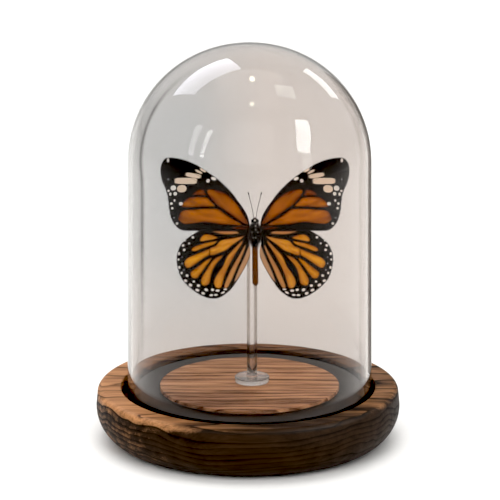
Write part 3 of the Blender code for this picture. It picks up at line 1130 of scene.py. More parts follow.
FOREWING = WingPlan(
    outline=(
        (2.5, 5.6), (3.2, 9.4), (5.1, 13.3), (7.8, 17.3), (10.9, 21.2), (14.2, 24.9), (18.1, 28.3),
        (22.4, 31.6), (27.1, 34.7), (31.9, 36.9), (36.2, 38.0), (39.6, 38.1), (41.4, 36.5), (42.2, 34.0),
        (42.2, 30.8), (41.5, 27.4), (40.1, 24.1), (39.1, 21.1), (38.7, 18.0), (38.4, 14.9), (37.8, 11.4),
        (36.7, 8.3), (35.1, 6.0), (32.8, 4.4), (29.8, 4.0), (23.4, 3.8), (12.6, 3.5), (2.7, 3.1),
    ),
    cells=(
        Cell(((3.0, 6.2), (5.1, 10.3), (7.8, 15.2), (10.9, 18.7), (14.0, 21.0), (16.9, 22.2), (19.8, 22.9),
            (21.4, 22.5), (21.2, 20.9), (19.5, 18.3), (17.2, 15.8), (14.6, 13.8), (11.7, 11.3),
            (8.6, 8.9), (5.4, 6.6)), 0.35),
        Cell(((28.0, 20.8), (26.7, 22.0), (25.0, 22.8), (23.2, 22.7), (22.6, 21.5), (21.9, 20.3),
            (22.9, 20.2), (25.5, 20.5)), 0.3),
        Cell(((33.1, 15.8), (31.6, 18.1), (29.4, 19.6), (26.7, 19.8), (23.9, 19.7), (21.4, 19.1),
            (19.8, 17.4), (18.0, 15.3), (19.8, 15.0), (25.5, 15.0), (30.1, 14.9), (32.4, 15.1))),
        Cell(((34.5, 9.9), (33.3, 12.8), (31.0, 13.8), (27.0, 13.9), (22.7, 14.1), (18.3, 13.9),
            (16.0, 13.4), (14.0, 11.7), (11.2, 9.5), (8.3, 7.6), (6.1, 6.1), (7.1, 5.6), (11.2, 6.1),
            (15.5, 6.4), (18.3, 7.1), (21.2, 7.6), (24.1, 7.7), (26.7, 7.5), (29.0, 7.3), (31.3, 7.2),
            (32.9, 7.8), (34.0, 8.9))),
        Cell(((3.0, 5.0), (5.4, 5.2), (7.4, 5.5), (8.3, 5.3), (6.0, 4.8), (3.0, 4.5)), 0.8),
        Cell(((3.0, 3.8), (5.7, 4.5), (8.9, 4.9), (10.6, 4.6), (8.3, 4.0), (5.4, 3.6)), 0.8),
    ),
    veins=(
        ((2.5, 6.4), (4.5, 10.6), (7.3, 15.4), (10.3, 19.0), (13.7, 21.8), (17.5, 24.4), (21.5, 27.2),
            (25.5, 29.5)),
        ((2.6, 4.9), (4.3, 5.8), (7.4, 8.1), (11.2, 10.9), (14.0, 12.9), (16.0, 14.4), (18.1, 16.4),
            (20.1, 18.9), (21.4, 20.6), (22.3, 22.7), (22.9, 24.6)),
        ((16.0, 14.4), (21.2, 14.3), (27.0, 14.4), (31.3, 14.3), (34.2, 13.4), (37.9, 12.0)),
        ((21.2, 19.9), (24.4, 20.3), (27.3, 20.5), (29.6, 20.2), (33.0, 19.0), (38.3, 18.6)),
        ((22.3, 22.7), (26.0, 24.2), (30.0, 25.2), (34.5, 25.8), (41.0, 26.4)),
        ((22.9, 24.6), (26.5, 27.0), (31.0, 29.4), (36.0, 31.4), (41.9, 32.4)),
        ((25.5, 29.5), (29.5, 31.8), (34.0, 34.0), (39.9, 36.9)),
        ((2.7, 4.2), (8.0, 4.9), (15.0, 5.3), (23.0, 5.6), (30.0, 5.9), (36.0, 8.0)),
    ),
    spots=(
        Spot(31.1, 27.2, 5.0, 1.42, 3.0, SpotTone.CREAM, 4.2),
        Spot(27.7, 29.6, 3.5, 0.98, 12.0, SpotTone.CREAM, 3.6),
        Spot(25.3, 31.25, 1.75, 0.5, 30.0, SpotTone.CREAM, 2.8),
        Spot(23.4, 31.85, 1.5, 0.5, 32.0, SpotTone.CREAM, 2.8),
        Spot(32.9, 23.7, 2.1, 1.62, 0.0, SpotTone.CREAM), Spot(36.7, 24.2, 1.2, 1.1),
        Spot(39.05, 37.1, 0.5, 0.95), Spot(38.8, 23.05, 0.5, 0.5), Spot(38.0, 21.5, 0.52, 0.78),
        Spot(37.5, 17.0, 0.55, 0.6), Spot(37.1, 14.8, 0.5, 0.56),
        Spot(36.3, 10.3, 0.35, 0.38, 0.0, SpotTone.FAINT), Spot(35.0, 7.5, 0.56, 0.56),
        Spot(39.0, 28.3, 0.34, 0.46, 0.0, SpotTone.FAINT), Spot(35.8, 21.6, 0.78, 0.84),
        Spot(36.1, 18.4, 0.42, 0.6), Spot(33.3, 16.8, 0.84, 0.8), Spot(21.1, 26.85, 0.76, 0.8),
        Spot(18.6, 27.75, 1.15, 0.66, 24.0), Spot(13.4, 24.1, 0.5, 0.36, 45.0, SpotTone.FAINT),
    ),
    hub=(0.5, 3.0),
)

HINDWING = WingPlan(
    outline=(
        (2.9, 2.2), (5.6, 4.7), (12.0, 5.9), (18.6, 5.4), (24.3, 3.7), (27.6, 1.9), (30.4, -0.1),
        (32.9, -2.6), (34.3, -5.6), (35.0, -8.8), (34.8, -12.4), (34.0, -15.7), (32.8, -18.8), (30.6, -21.7),
        (27.6, -24.5), (24.2, -26.9), (20.2, -28.5), (16.3, -28.4), (13.3, -26.7), (10.7, -24.4),
        (8.2, -21.0), (5.8, -17.1), (3.7, -13.1), (2.3, -9.4), (2.2, -6.0), (2.9, -2.5),
    ),
    cells=(
        Cell(((7.1, 1.7), (8.8, 2.7), (12.9, 2.9), (17.6, 3.1), (19.1, 2.9), (17.6, 2.4), (15.0, 1.6),
            (12.4, 1.3), (9.8, 1.3), (7.7, 1.4)), 0.35),
        Cell(((24.8, -1.1), (24.0, 0.7), (22.7, 1.6), (21.2, 1.7), (19.1, 1.2), (16.7, 0.0), (18.3, -0.8),
            (21.7, -1.3), (23.8, -1.6))),
        Cell(((28.5, -5.2), (27.4, -4.0), (25.3, -3.2), (22.2, -2.3), (19.1, -1.8), (17.2, -1.6),
            (17.8, -2.7), (19.1, -3.4), (21.7, -4.3), (24.3, -5.2), (26.6, -6.1), (28.1, -6.0))),
        Cell(((31.8, -11.5), (30.8, -9.6), (28.7, -8.4), (26.4, -7.5), (23.8, -6.5), (21.5, -5.5),
            (20.2, -5.3), (20.4, -6.6), (20.7, -8.2), (22.5, -9.2), (24.8, -10.8), (27.1, -12.5),
            (29.5, -13.9), (31.0, -13.5))),
        Cell(((4.9, 0.3), (6.4, 0.0), (9.8, -0.5), (13.4, -1.0), (15.5, -1.6), (16.8, -2.9), (17.8, -4.0),
            (20.2, -4.9), (20.3, -6.6), (20.2, -8.1), (18.6, -8.3), (16.3, -7.4), (13.7, -6.5),
            (12.1, -5.6), (10.3, -4.0), (7.7, -2.2), (5.7, -0.7)), 0.05),
        Cell(((29.0, -16.2), (27.4, -14.7), (24.8, -12.7), (22.5, -10.9), (20.7, -9.9), (19.5, -9.6),
            (20.2, -11.0), (22.2, -13.6), (23.8, -16.0), (25.1, -17.8), (26.1, -18.9), (27.7, -18.9),
            (28.6, -18.0))),
        Cell(((24.3, -20.6), (23.8, -18.4), (22.2, -15.8), (20.4, -12.8), (18.6, -10.5), (16.8, -9.2),
            (14.6, -8.5), (14.5, -9.0), (16.0, -10.8), (17.6, -12.7), (18.9, -15.1), (19.6, -17.2),
            (20.0, -19.4), (20.4, -21.3), (21.7, -22.4), (23.5, -22.4)), 0.05),
        Cell(((18.5, -21.3), (17.8, -18.9), (16.3, -16.3), (14.5, -13.9), (13.4, -11.2), (12.4, -8.8),
            (10.8, -7.0), (8.5, -4.6), (6.4, -2.5), (5.4, -2.0), (5.9, -3.6), (7.7, -6.3), (9.8, -10.0),
            (11.9, -14.0), (13.2, -17.2), (14.2, -20.4), (15.0, -23.4), (16.3, -24.1), (17.6, -23.5)), 0.12),
        Cell(((13.9, -23.4), (13.4, -21.5), (12.4, -18.9), (11.1, -15.9), (9.5, -13.0), (7.7, -9.8),
            (5.9, -6.6), (4.6, -4.2), (4.1, -4.3), (4.9, -7.2), (6.4, -10.9), (8.0, -14.4), (9.5, -18.2),
            (10.8, -21.1), (12.1, -23.5), (13.2, -24.2)), 0.45),
        Cell(((9.3, -21.1), (8.5, -18.5), (7.0, -14.7), (5.1, -10.5), (3.6, -6.7), (2.6, -4.3), (2.0, -5.4),
            (2.1, -8.4), (3.4, -12.4), (5.2, -15.9), (7.0, -18.8), (8.5, -20.8)), 0.95),
    ),
    veins=(
        ((3.3, 0.9), (6.2, 1.0), (9.8, 0.9), (15.0, 0.2), (19.6, -1.2), (24.8, -2.1), (27.9, -3.2),
            (31.4, -4.6)),
        ((13.6, 0.4), (16.0, 1.0), (18.1, 1.8), (20.2, 2.6), (23.5, 3.6)),
        ((15.6, -0.1), (16.8, -2.1), (17.8, -3.5), (20.4, -4.8), (23.8, -6.2), (27.9, -7.7), (32.3, -9.8)),
        ((3.3, 0.3), (7.2, -2.4), (10.8, -4.9), (13.4, -6.7), (16.0, -7.9), (18.2, -8.7), (20.4, -8.8),
            (22.7, -9.6), (25.9, -12.0), (29.5, -14.7), (32.6, -17.1)),
        ((18.3, -8.8), (20.2, -11.5), (22.5, -14.7), (24.3, -17.6), (25.3, -19.7), (27.6, -23.2)),
        ((13.4, -6.7), (14.2, -9.3), (16.0, -12.2), (17.8, -14.8), (19.0, -17.2), (19.6, -19.4),
            (20.4, -24.5)),
        ((3.3, -0.8), (5.4, -3.4), (7.5, -6.6), (9.8, -10.8), (11.9, -15.3), (13.4, -19.4), (14.5, -22.6),
            (16.2, -27.2)),
        ((2.8, -1.3), (3.3, -5.1), (5.4, -9.9), (7.5, -14.7), (9.0, -19.0), (11.2, -23.8)),
    ),
    spots=(
        Spot(27.9, 0.5, 0.56, 0.56), Spot(29.6, -2.3, 0.42, 0.42), Spot(31.8, -5.3, 0.58, 0.58),
        Spot(32.7, -8.7, 0.3, 0.3, 0.0, SpotTone.FAINT), Spot(32.7, -11.7, 0.36, 0.42, 0.0, SpotTone.FAINT),
        Spot(31.9, -14.8, 0.38, 0.38, 0.0, SpotTone.FAINT), Spot(30.5, -17.5, 0.62, 0.6),
        Spot(27.5, -20.4, 0.53, 0.5), Spot(25.4, -22.4, 0.7, 0.6), Spot(21.9, -24.5, 0.86, 0.62, 30.0),
        Spot(19.05, -24.6, 0.7, 0.58, 20.0), Spot(16.8, -25.1, 0.9, 0.52), Spot(13.3, -24.6, 0.8, 0.36),
        Spot(30.0, 1.0, 0.34, 0.34, 0.0, SpotTone.FAINT), Spot(31.4, -1.0, 0.34, 0.34),
        Spot(32.3, -3.2, 0.6, 0.54, -50.0), Spot(34.1, -7.0, 0.5, 0.74), Spot(34.35, -9.8, 0.42, 0.5),
        Spot(33.95, -13.5, 0.48, 0.72), Spot(32.95, -16.2, 0.44, 0.64), Spot(31.2, -19.9, 0.8, 0.54, 25.0),
        Spot(29.0, -22.0, 0.84, 0.64, 35.0), Spot(25.9, -24.5, 0.9, 0.58, 25.0),
        Spot(23.3, -26.1, 0.86, 0.58, 25.0), Spot(19.6, -27.1, 0.82, 0.48), Spot(17.55, -27.1, 0.8, 0.44),
        Spot(14.4, -26.1, 0.9, 0.44, -25.0),
    ),
    patch=(
        (13.8, -8.5), (14.9, -9.8), (16.0, -11.1), (17.3, -13.0), (18.2, -15.1), (18.1, -16.6), (17.1, -16.6),
        (16.0, -15.5), (14.9, -13.9), (13.9, -11.7), (13.3, -9.6),
    ),
    hub=(0.0, 1.5),
)


def inside_loop(points: np.ndarray, loop: np.ndarray) -> np.ndarray:
    """Tells which points lie inside a closed loop.

    Args:
        points: rows of u and v.
        loop: rows of u and v round the loop.

    Returns:
        True or False for each point.
    """
    u, v = points[:, 0], points[:, 1]
    inside = np.zeros(len(points), dtype=bool)
    for (au, av), (bu, bv) in zip(loop, np.roll(loop, -1, axis=0), strict=True):
        if av == bv:
            continue
        crossed = (av > v) != (bv > v)
        inside ^= crossed & (u < (bu - au) * (v - av) / (bv - av) + au)
    return inside


def line_distance(points: np.ndarray, line: np.ndarray, closed: bool) -> np.ndarray:
    """Measures how far points lie from a line of short parts.

    Args:
        points: rows of u and v.
        line: rows of u and v along the line.
        closed: whether the last point joins the first.

    Returns:
        The distance of each point.
    """
    ends = np.roll(line, -1, axis=0) if closed else line[1:]
    starts = line if closed else line[:-1]
    best = np.full(len(points), np.inf)
    for a, b in zip(starts, ends, strict=True):
        span = b - a
        length = float(span @ span)
        if length == 0.0:
            continue
        t = np.clip((points - a) @ span / length, 0.0, 1.0)
        gap = points - a - t[:, None] * span
        best = np.minimum(best, np.einsum("ij,ij->i", gap, gap))
    return np.sqrt(best)


def loop_depth(points: np.ndarray, outline: Sequence[Point]) -> np.ndarray:
    """Measures how deep points lie inside a smooth outline, negative outside it.

    Args:
        points: rows of u and v.
        outline: given points round the outline.

    Returns:
        The depth of each point.
    """
    loop = smooth_line(outline, 4, True)
    distance = line_distance(points, loop, True)
    return np.where(inside_loop(points, loop), distance, -distance)


@dataclass
class Wing:
    """One wing: a thin cambered sheet of scales with raised veins and a fringe."""

    name: str
    plan: WingPlan
    side: Side
    root_y: float
    thickness: float = 0.16
    grid: float = 0.3
    bulge: float = 0.12
    bulge_width: float = 1.2
    camber: float = 0.3
    vein_root: float = 0.2
    vein_tip: float = 0.09
    vein_fade: float = 42.0
    root_glow: float = 7.0
    far_outside: float = -9.0
    fringe_from: float = 9.0

    def place(self, points: np.ndarray, rise: np.ndarray | float) -> np.ndarray:
        """Lays points of the wing's plan in space.

        Args:
            points: rows of u and v, in millimetres.
            rise: how far each stands towards the viewer from the wing's middle plane.

        Returns:
            Rows of x, y and z, in millimetres.
        """
        u, v = points[:, 0], points[:, 1]
        x = SPECIMEN[0] + self.side.value * u
        y = SPECIMEN[1] + self.root_y - u * math.tan(WING_LIFT) - rise
        return np.column_stack([x, y, SPECIMEN[2] + v])

    def swell(self, points: np.ndarray) -> np.ndarray:
        """Adds the wing's camber and the membrane's bulge between its veins.

        Args:
            points: rows of u and v.

        Returns:
            How far each point stands towards the viewer, in millimetres.
        """
        lines = [smooth_line(vein, 4) for vein in self.plan.veins]
        gap = np.min([line_distance(points, line, False) for line in lines], axis=0)
        span = max(point[0] for point in self.plan.outline)
        camber = self.camber * np.sin(math.pi * np.clip(points[:, 0] / span, 0.0, 1.0))
        return camber + self.bulge * (1.0 - np.exp(-gap / self.bulge_width))

    def reach(self, points: np.ndarray) -> np.ndarray:
        """Gives each point's distance from the hub that the streaks run out from, in millimetres."""
        return np.hypot(points[:, 0] - self.plan.hub[0], points[:, 1] - self.plan.hub[1])

    def marks(self, points: np.ndarray) -> dict[str, np.ndarray]:
        """Works out the pattern's distances for the wing's points.

        Args:
            points: rows of u and v.

        Returns:
            Values for the attributes that the scales' material reads.
        """
        depths = np.array([loop_depth(points, cell.outline) for cell in self.plan.cells])
        tone = np.array([cell.tone for cell in self.plan.cells])[depths.argmax(axis=0)]
        root = 0.55 * np.exp(-((self.reach(points) / self.root_glow) ** 2))
        found = {"cell": depths.max(axis=0), "tone": np.clip(tone + root, 0.0, 1.0)}
        for kind in SpotTone:
            found[kind.value] = self.spot_depth(points, kind)
        found["patch"] = np.full(len(points), self.far_outside)
        if self.plan.patch:
            found["patch"] = loop_depth(points, self.plan.patch)
        return found

    def spot_depth(self, points: np.ndarray, tone: SpotTone) -> np.ndarray:
        """Measures how deep points lie in the spots of a tone.

        Args:
            points: rows of u and v.
            tone: the spots' tone.

        Returns:
            The depth of each point in millimetres, negative outside.
        """
        best = np.full(len(points), self.far_outside)
        for spot in (s for s in self.plan.spots if s.tone is tone):
            angle = math.radians(spot.turn)
            du, dv = points[:, 0] - spot.u, points[:, 1] - spot.v
            along = np.abs(du * math.cos(angle) + dv * math.sin(angle)) / spot.half_u
            across = np.abs(dv * math.cos(angle) - du * math.sin(angle)) / spot.half_v
            reach = (along**spot.square + across**spot.square) ** (1.0 / spot.square)
            best = np.maximum(best, (1.0 - reach) * min(spot.half_u, spot.half_v))
        return best

    def sheet(self) -> Mesh:
        """Makes the closed sheet of the wing, upper side, underside and edge.

        Returns:
            The mesh with its pattern marks and its fan-shaped UV map.
        """
        rim = smooth_line(self.plan.outline, 12, True)
        low, high = rim.min(axis=0), rim.max(axis=0)
        step = self.grid
        seeds = []
        for n, v in enumerate(np.arange(low[1], high[1], step * 0.866)):
            seeds += [(u, v) for u in np.arange(low[0] + (n % 2) * step / 2, high[0], step)]
        seeds = np.array(seeds)
        seeds = seeds[inside_loop(seeds, rim)]
        seeds = seeds[line_distance(seeds, rim, True) > step * 0.45]
        plan = [Vector(p) for p in np.vstack([rim, seeds])]
        flat, _, thirds, *_ = geometry.delaunay_2d_cdt(plan, [], [list(range(len(rim)))], 1, 1e-7)
        points = np.array([tuple(p) for p in flat])
        count, around = len(points), len(rim)
        swell = self.swell(points)
        both = np.vstack([self.place(points, swell + side * self.thickness / 2) for side in (1, -1)])
        faces = [tuple(t) for t in thirds] + [tuple(n + count for n in reversed(t)) for t in thirds]
        faces += [(i, (i + 1) % around, (i + 1) % around + count, i + count) for i in range(around)]
        marks = {key: np.concatenate([value, value]) for key, value in self.marks(points).items()}
        marks["upper"] = np.concatenate([np.ones(count), np.zeros(count)])
        forms = Forms()
        forms.add(both, faces, marks)
        mesh = forms.mesh(self.name, 50.0)
        hub = self.plan.hub
        angle = np.arctan2(points[:, 1] - hub[1], points[:, 0] - hub[0]) / (2 * math.pi)
        chart = np.tile(np.column_stack([angle, self.reach(points)]), (2, 1))
        corners = np.empty(len(mesh.loops), dtype=np.int32)
        mesh.loops.foreach_get("vertex_index", corners)
        mesh.uv_layers.new(name="fan").data.foreach_set("uv", chart[corners].ravel())
        return mesh

    def vein_mesh(self, tree: NodeTree, material: Material) -> Mesh:
        """Grows the raised veins along their paths.

        Args:
            tree: the limb tree.
            material: the veins' finish.

        Returns:
            The mesh of all the wing's veins.
        """
        lines = [smooth_line(vein, 6) for vein in self.plan.veins]
        fades = [np.clip(1.0 - self.reach(line) / self.vein_fade, 0.0, 1.0) for line in lines]
        girths = [self.vein_tip + (self.vein_root - self.vein_tip) * fade for fade in fades]
        bare = path_mesh(f"{self.name}_paths", [self.place(line, self.swell(line)) for line in lines], girths)
        return grow(f"{self.name}_veins", bare, tree, step=0.5 * MM, sides=7, material=material)

    def fringe_mesh(self, tree: NodeTree, material: Material) -> Mesh:
        """Grows the short scale fringe along the outer margin.

        Args:
            tree: the fringe tree.
            material: the fringe's finish.

        Returns:
            The mesh of the fringe.
        """
        rim = smooth_line(self.plan.outline, 12, True)
        ahead = np.roll(rim, -1, axis=0) - np.roll(rim, 1, axis=0)
        normal = np.column_stack([ahead[:, 1], -ahead[:, 0]])
        normal /= np.linalg.norm(normal, axis=1)[:, None]
        if inside_loop(rim + normal * 0.2, rim).mean() > 0.5:
            normal = -normal
        keep = rim[:, 0] > self.fringe_from
        turn = int(np.flatnonzero(~keep)[-1]) + 1
        rim, normal, keep = (np.roll(a, -turn, axis=0) for a in (rim, normal, keep))
        rim, normal = rim[keep], normal[keep]
        path = self.place(rim, self.swell(rim))
        outward = self.place(rim + normal, self.swell(rim)) - path
        bare = path_mesh(f"{self.name}_margin", [path], [np.ones(len(path))])
        bare.attributes.new("outward", "FLOAT_VECTOR", "POINT").data.foreach_set("vector", outward.ravel())
        sizes = {"spacing": 0.16 * MM, "length": 0.55 * MM, "width": 0.07 * MM, "spread": 0.35}
        return grow(f"{self.name}_fringe", bare, tree, **sizes, material=material)


@dataclass
class WingSet:
    """The four wings with their finishes."""

    forewing_y: float = -1.3
    hindwing_y: float = -0.6

    def build(self, limbs: NodeTree, fringe: NodeTree) -> None:
        """Builds the wings of both sides.

        Args:
            limbs: the tree for the veins.
            fringe: the tree for the margins.
        """
        # Forewing scales: deep orange, reddish brown towards the root
        fore = WingScales("forewing_scales_dusty", "#d07b10", "#742f04", "#642a0e", "#b87c40").material()
        # Hindwing scales: yellower orange, pale pinkish brown along the body
        hind = WingScales("hindwing_scales_dusty", "#fbb02c", "#ae5e14", "#c49a74", "#c8925a").material()
        vein = Chitin("vein_black_chitin", dark="#0c0805", roughness=0.4).material()
        kinds = (("forewing", FOREWING, self.forewing_y, fore), ("hindwing", HINDWING, self.hindwing_y, hind))
        for side in Side:
            for kind, plan, root_y, scales in kinds:
                node, slot = f"{kind}_{side.name.lower()}", f"{kind}_scales"
                wing = Wing(f"{node}_sheet", plan, side, root_y)
                show_piece(f"{node}_sheet", wing.sheet(), scales, slot, node)
                show_piece(f"{node}_veins", wing.vein_mesh(limbs, vein), vein, slot)
                show_piece(f"{node}_fringe", wing.fringe_mesh(fringe, vein), vein, slot)


# Body and antennae


@dataclass
class ButterflyBody:
    """Head, eyes, thorax, ringed abdomen and folded legs, with their hair."""

    thorax_half: Point = (2.6, 2.7, 5.6)
    thorax_fullness: float = 3.0
    rear_taper: float = 0.5
    head_radius: float = 1.35
    head_rise: float = 6.9
    eye_radius: float = 0.9
    eye_spread: float = 0.85
    palp_half: Point = (0.26, 0.3, 0.62)
    abdomen_top: float = -3.6
    abdomen_length: float = 20.4
    abdomen_radius: float = 1.4
    abdomen_y: float = 0.5
    abdomen_rings: int = 7
    abdomen_fold: float = 0.11
    lean: float = 0.7
    leg_radius: float = 0.26
    coil_radius: float = 0.55
    coil_girth: float = 0.1
    dot_edge: float = 0.15
    hair_length: float = 1.5
    hair_width: float = 0.06
    legs: tuple[tuple[Point, ...], ...] = (
        (
            (1.5, 1.4, 1.4), (3.6, 3.3, 0.4), (4.9, 4.6, -1.4), (4.7, 5.4, 0.9), (4.6, 6.2, 3.4),
            (4.9, 7.0, 5.4),
        ),
        (
            (1.3, 1.2, -1.8), (3.5, 3.1, -3.6), (4.8, 4.1, -6.0), (4.7, 5.2, -4.2), (4.5, 6.2, -6.4),
            (4.9, 7.0, -8.4),
        ),
    )

    def ball(self, centre: Point, radii: Point, around: int, rows: int) -> tuple[np.ndarray, Point, Point]:
        """Makes the rings of a ball that is measured from the thorax's middle.

        Args:
            centre: its middle, in millimetres.
            radii: its half sizes along x, y and z.
            around: points in a ring.
            rows: rings.

        Returns:
            The rings and the two poles.
        """
        angle = np.linspace(0.0, 2 * math.pi, around, endpoint=False)
        tilt = np.linspace(0.0, math.pi, rows + 2)[1:-1]
        middle = np.add(SPECIMEN, centre)
        rings = np.empty((rows, around, 3))
        rings[:, :, 0] = middle[0] + radii[0] * np.sin(tilt)[:, None] * np.cos(angle)
        rings[:, :, 1] = middle[1] + radii[1] * np.sin(tilt)[:, None] * np.sin(angle)
        rings[:, :, 2] = middle[2] + radii[2] * np.cos(tilt)[:, None] * np.ones_like(angle)
        ends = [(middle[0], middle[1], middle[2] + sign * radii[2]) for sign in (1, -1)]
        return rings, ends[0], ends[1]

    def thorax(self) -> tuple[np.ndarray, Point, Point]:
        """Makes the thorax, full at the shoulders and narrower behind.

        Returns:
            Its rings and its two poles.
        """
        rings, top, bottom = self.ball((0.0, 0.0, 0.0), self.thorax_half, 56, 34)
        middle = np.array(SPECIMEN)
        for ring in rings:
            along = (ring[0, 2] - middle[2]) / self.thorax_half[2]
            full = (1.0 - abs(along) ** self.thorax_fullness) ** (1.0 / self.thorax_fullness)
            girth = full / math.sqrt(1.0 - along**2) * (1.0 - self.rear_taper * max(0.0, -along))
            ring[:, :2] = middle[:2] + (ring[:, :2] - middle[:2]) * girth
        return rings, top, bottom

    def abdomen(self) -> tuple[np.ndarray, Point, Point]:
        """Makes the abdomen: ringed, blunt at its tip and leaning a little.

        Returns:
            Its rings and its two poles.
        """
        steps, around = self.abdomen_rings * 9, 40
        angle = np.linspace(0.0, 2 * math.pi, around, endpoint=False)
        start = np.array((SPECIMEN[0], SPECIMEN[1] + self.abdomen_y, SPECIMEN[2] + self.abdomen_top))
        lean = math.radians(self.lean)
        reach = np.array((math.sin(lean), 0.0, -math.cos(lean))) * self.abdomen_length
        rings = []
        for i in range(1, steps):
            along = i / steps
            swell = self.abdomen_radius * min(1.0, (along / 0.1) ** 0.5, ((1.0 - along) / 0.07) ** 0.5)
            fold = abs(math.sin(math.pi * self.abdomen_rings * along))
            radius = swell * (0.92 + 0.08 * along) - self.abdomen_fold * (1.0 - fold) ** 3
            ring = np.column_stack([radius * np.cos(angle), radius * 0.96 * np.sin(angle), np.zeros(around)])
            rings.append(start + reach * along + ring)
        return np.array(rings), tuple(start), tuple(start + reach)

    def dots(self, points: np.ndarray) -> np.ndarray:
        """Marks the white dots on the head and along the thorax.

        Args:
            points: rows of x, y and z, in millimetres.

        Returns:
            A value from 0 to 1 for each point.
        """
        found = np.zeros(len(points))
        spots = [(0.0, 7.5, 0.4), (0.3, 5.0, 0.28), (0.35, 3.6, 0.28), (-0.75, -0.1, 0.3), (0.3, -0.1, 0.3)]
        spots += [(s * 1.35, z, 0.2) for s in (-1, 1) for z in (4.4, 2.2, -1.6)]
        facing = points[:, 1] < SPECIMEN[1] - 0.3
        for x, z, radius in spots:
            gap = np.hypot(points[:, 0] - SPECIMEN[0] - x, points[:, 2] - SPECIMEN[2] - z)
            found = np.maximum(found, np.clip((radius - gap) / self.dot_edge, 0.0, 1.0) * facing)
        return found

    def fur_skin(self) -> Mesh:
        """Makes the skin that the hairs grow on.

        Returns:
            A mesh of the thorax, hairier at its sides and low down, and of the head.
        """
        forms = Forms()
        rings, *poles = self.thorax()
        sides = np.abs(rings[:, :, 0] - SPECIMEN[0]) / self.thorax_half[0]
        height = (rings[:, :, 2] - SPECIMEN[2]) / self.thorax_half[2]
        fur = np.clip(0.35 + 0.65 * sides, 0.0, 1.0) * np.clip(1.1 - 0.5 * height, 0.3, 1.0)
        forms.skin(rings, *poles)
        forms.marks[-1] = {"fur": np.concatenate([fur.ravel(), [0.3, 0.3]])}
        forms.skin(*self.ball((0.0, 0.1, self.head_rise - 0.5), (1.2, 1.2, 1.0), 20, 10), fur=0.6)
        return forms.mesh("fur_skin")

    def build(self, limbs: NodeTree, hairs: NodeTree) -> None:
        """Builds the body and its hair.

        Args:
            limbs: the tree for legs and mouthparts.
            hairs: the tree for the hair.
        """
        forms = Forms()
        forms.skin(*self.thorax())
        forms.skin(*self.abdomen(), brown=1.0)
        forms.skin(*self.ball((0.0, 0.0, self.head_rise), (self.head_radius,) * 3, 32, 18))
        for side in Side:
            eye = (side.value * self.eye_spread, -0.3, self.head_rise + 0.15)
            forms.skin(*self.ball(eye, (self.eye_radius,) * 3, 28, 16))
            palp = (side.value * 0.35, -0.75, self.head_rise + 1.25)
            forms.skin(*self.ball(palp, self.palp_half, 16, 10), brown=0.15)
        for points, marks in zip(forms.points, forms.marks, strict=True):
            marks["dot"] = self.dots(points)
        # Dark satin skin with short dusty scales; the abdomen is warm brown
        skin = Chitin("body_dry_chitin").material()
        show_piece("body_skin", forms.mesh("body_skin"), skin, "body_chitin", "butterfly_body")
        leg = Chitin("leg_dark_chitin", dark="#1a120c", roughness=0.42).material()
        show_piece("body_legs", self.leg_mesh(limbs, leg), leg, "body_chitin")
        # Fine hair whose colour changes from lock to lock, with a soft sheen
        sheen = (("Specular IOR Level", 0.1), ("Sheen Weight", 0.02))
        hair = Speckled("thorax_hair_brown", "#080504", "#3c2b1e", 0.9, 0.55, sheen).material()
        sizes = {"length": self.hair_length * MM, "width": self.hair_width * MM, "spread": 0.45, "seed": 11}
        sizes |= {"density": 1.5e7, "lean": (0.0, -0.1, -0.75)}
        grown = grow("body_hair", self.fur_skin(), hairs, **sizes, material=hair)
        show_piece("body_hair", grown, hair, "body_chitin")

    def leg_mesh(self, limbs: NodeTree, material: Material) -> Mesh:
        """Grows the folded legs and the coiled mouthpart.

        Args:
            limbs: the limb tree.
            material: their finish.

        Returns:
            One mesh of all limbs.
        """
        paths, girths = [], []
        for side in Side:
            for leg in self.legs:
                path = smooth_line([(side.value * x, y, z) for x, y, z in leg], 6)
                along = np.linspace(0.0, 1.0, len(path))
                joint = 1.0 + 0.25 * np.exp(-(((along - 0.4) / 0.05) ** 2))
                paths.append(path + SPECIMEN)
                girths.append(self.leg_radius * (1.0 - 0.5 * along) * joint)
        turns = np.linspace(0.0, 4.6 * math.pi, 60)
        coil = self.coil_radius * (1.0 - turns / (5.6 * math.pi))
        spiral = np.column_stack([np.zeros(60), 0.9 - coil * np.cos(turns), 7.9 + coil * np.sin(turns)])
        paths.append(spiral + SPECIMEN)
        girths.append(np.full(60, self.coil_girth))
        sizes = {"step": 0.18 * MM, "sides": 10, "ripple": 0.05, "ripple_every": 0.9 * MM}
        return grow("body_legs", path_mesh("leg_paths", paths, girths), limbs, **sizes, material=material)


@dataclass
class Antenna:
    """A thin ringed antenna with a small club."""

    side: Side
    radius: float = 0.12
    club: float = 0.3
    points: tuple[Point, ...] = (
        (0.55, -0.5, 8.0), (0.9, -1.0, 11.4), (1.6, -1.4, 14.8), (2.4, -1.6, 18.2), (3.0, -1.7, 20.6),
    )

    def build(self, limbs: NodeTree, material: Material) -> None:
        """Grows the antenna.

        Args:
            limbs: the limb tree.
            material: its finish.
        """
        line = smooth_line([(self.side.value * x, y, z) for x, y, z in self.points], 12)
        along = np.linspace(0.0, 1.0, len(line))
        club = np.exp(-(((along - 0.95) / 0.07) ** 2))
        bare = path_mesh("antenna_path", [line + SPECIMEN], [self.radius + (self.club - self.radius) * club])
        sizes = {"step": 0.09 * MM, "sides": 10, "ripple": 0.14, "ripple_every": 0.45 * MM}
        node = f"antenna_{self.side.name.lower()}"
        grown = grow(f"{node}_ringed", bare, limbs, **sizes, material=material)
        show_piece(f"{node}_ringed", grown, material, "antenna_chitin", node)


# Studio


class LightRole(Enum):
    """What a light is for: the even light on matt surfaces, or the bright shapes mirrored in the glass."""

    FILL = "fill"
    PANEL = "panel"


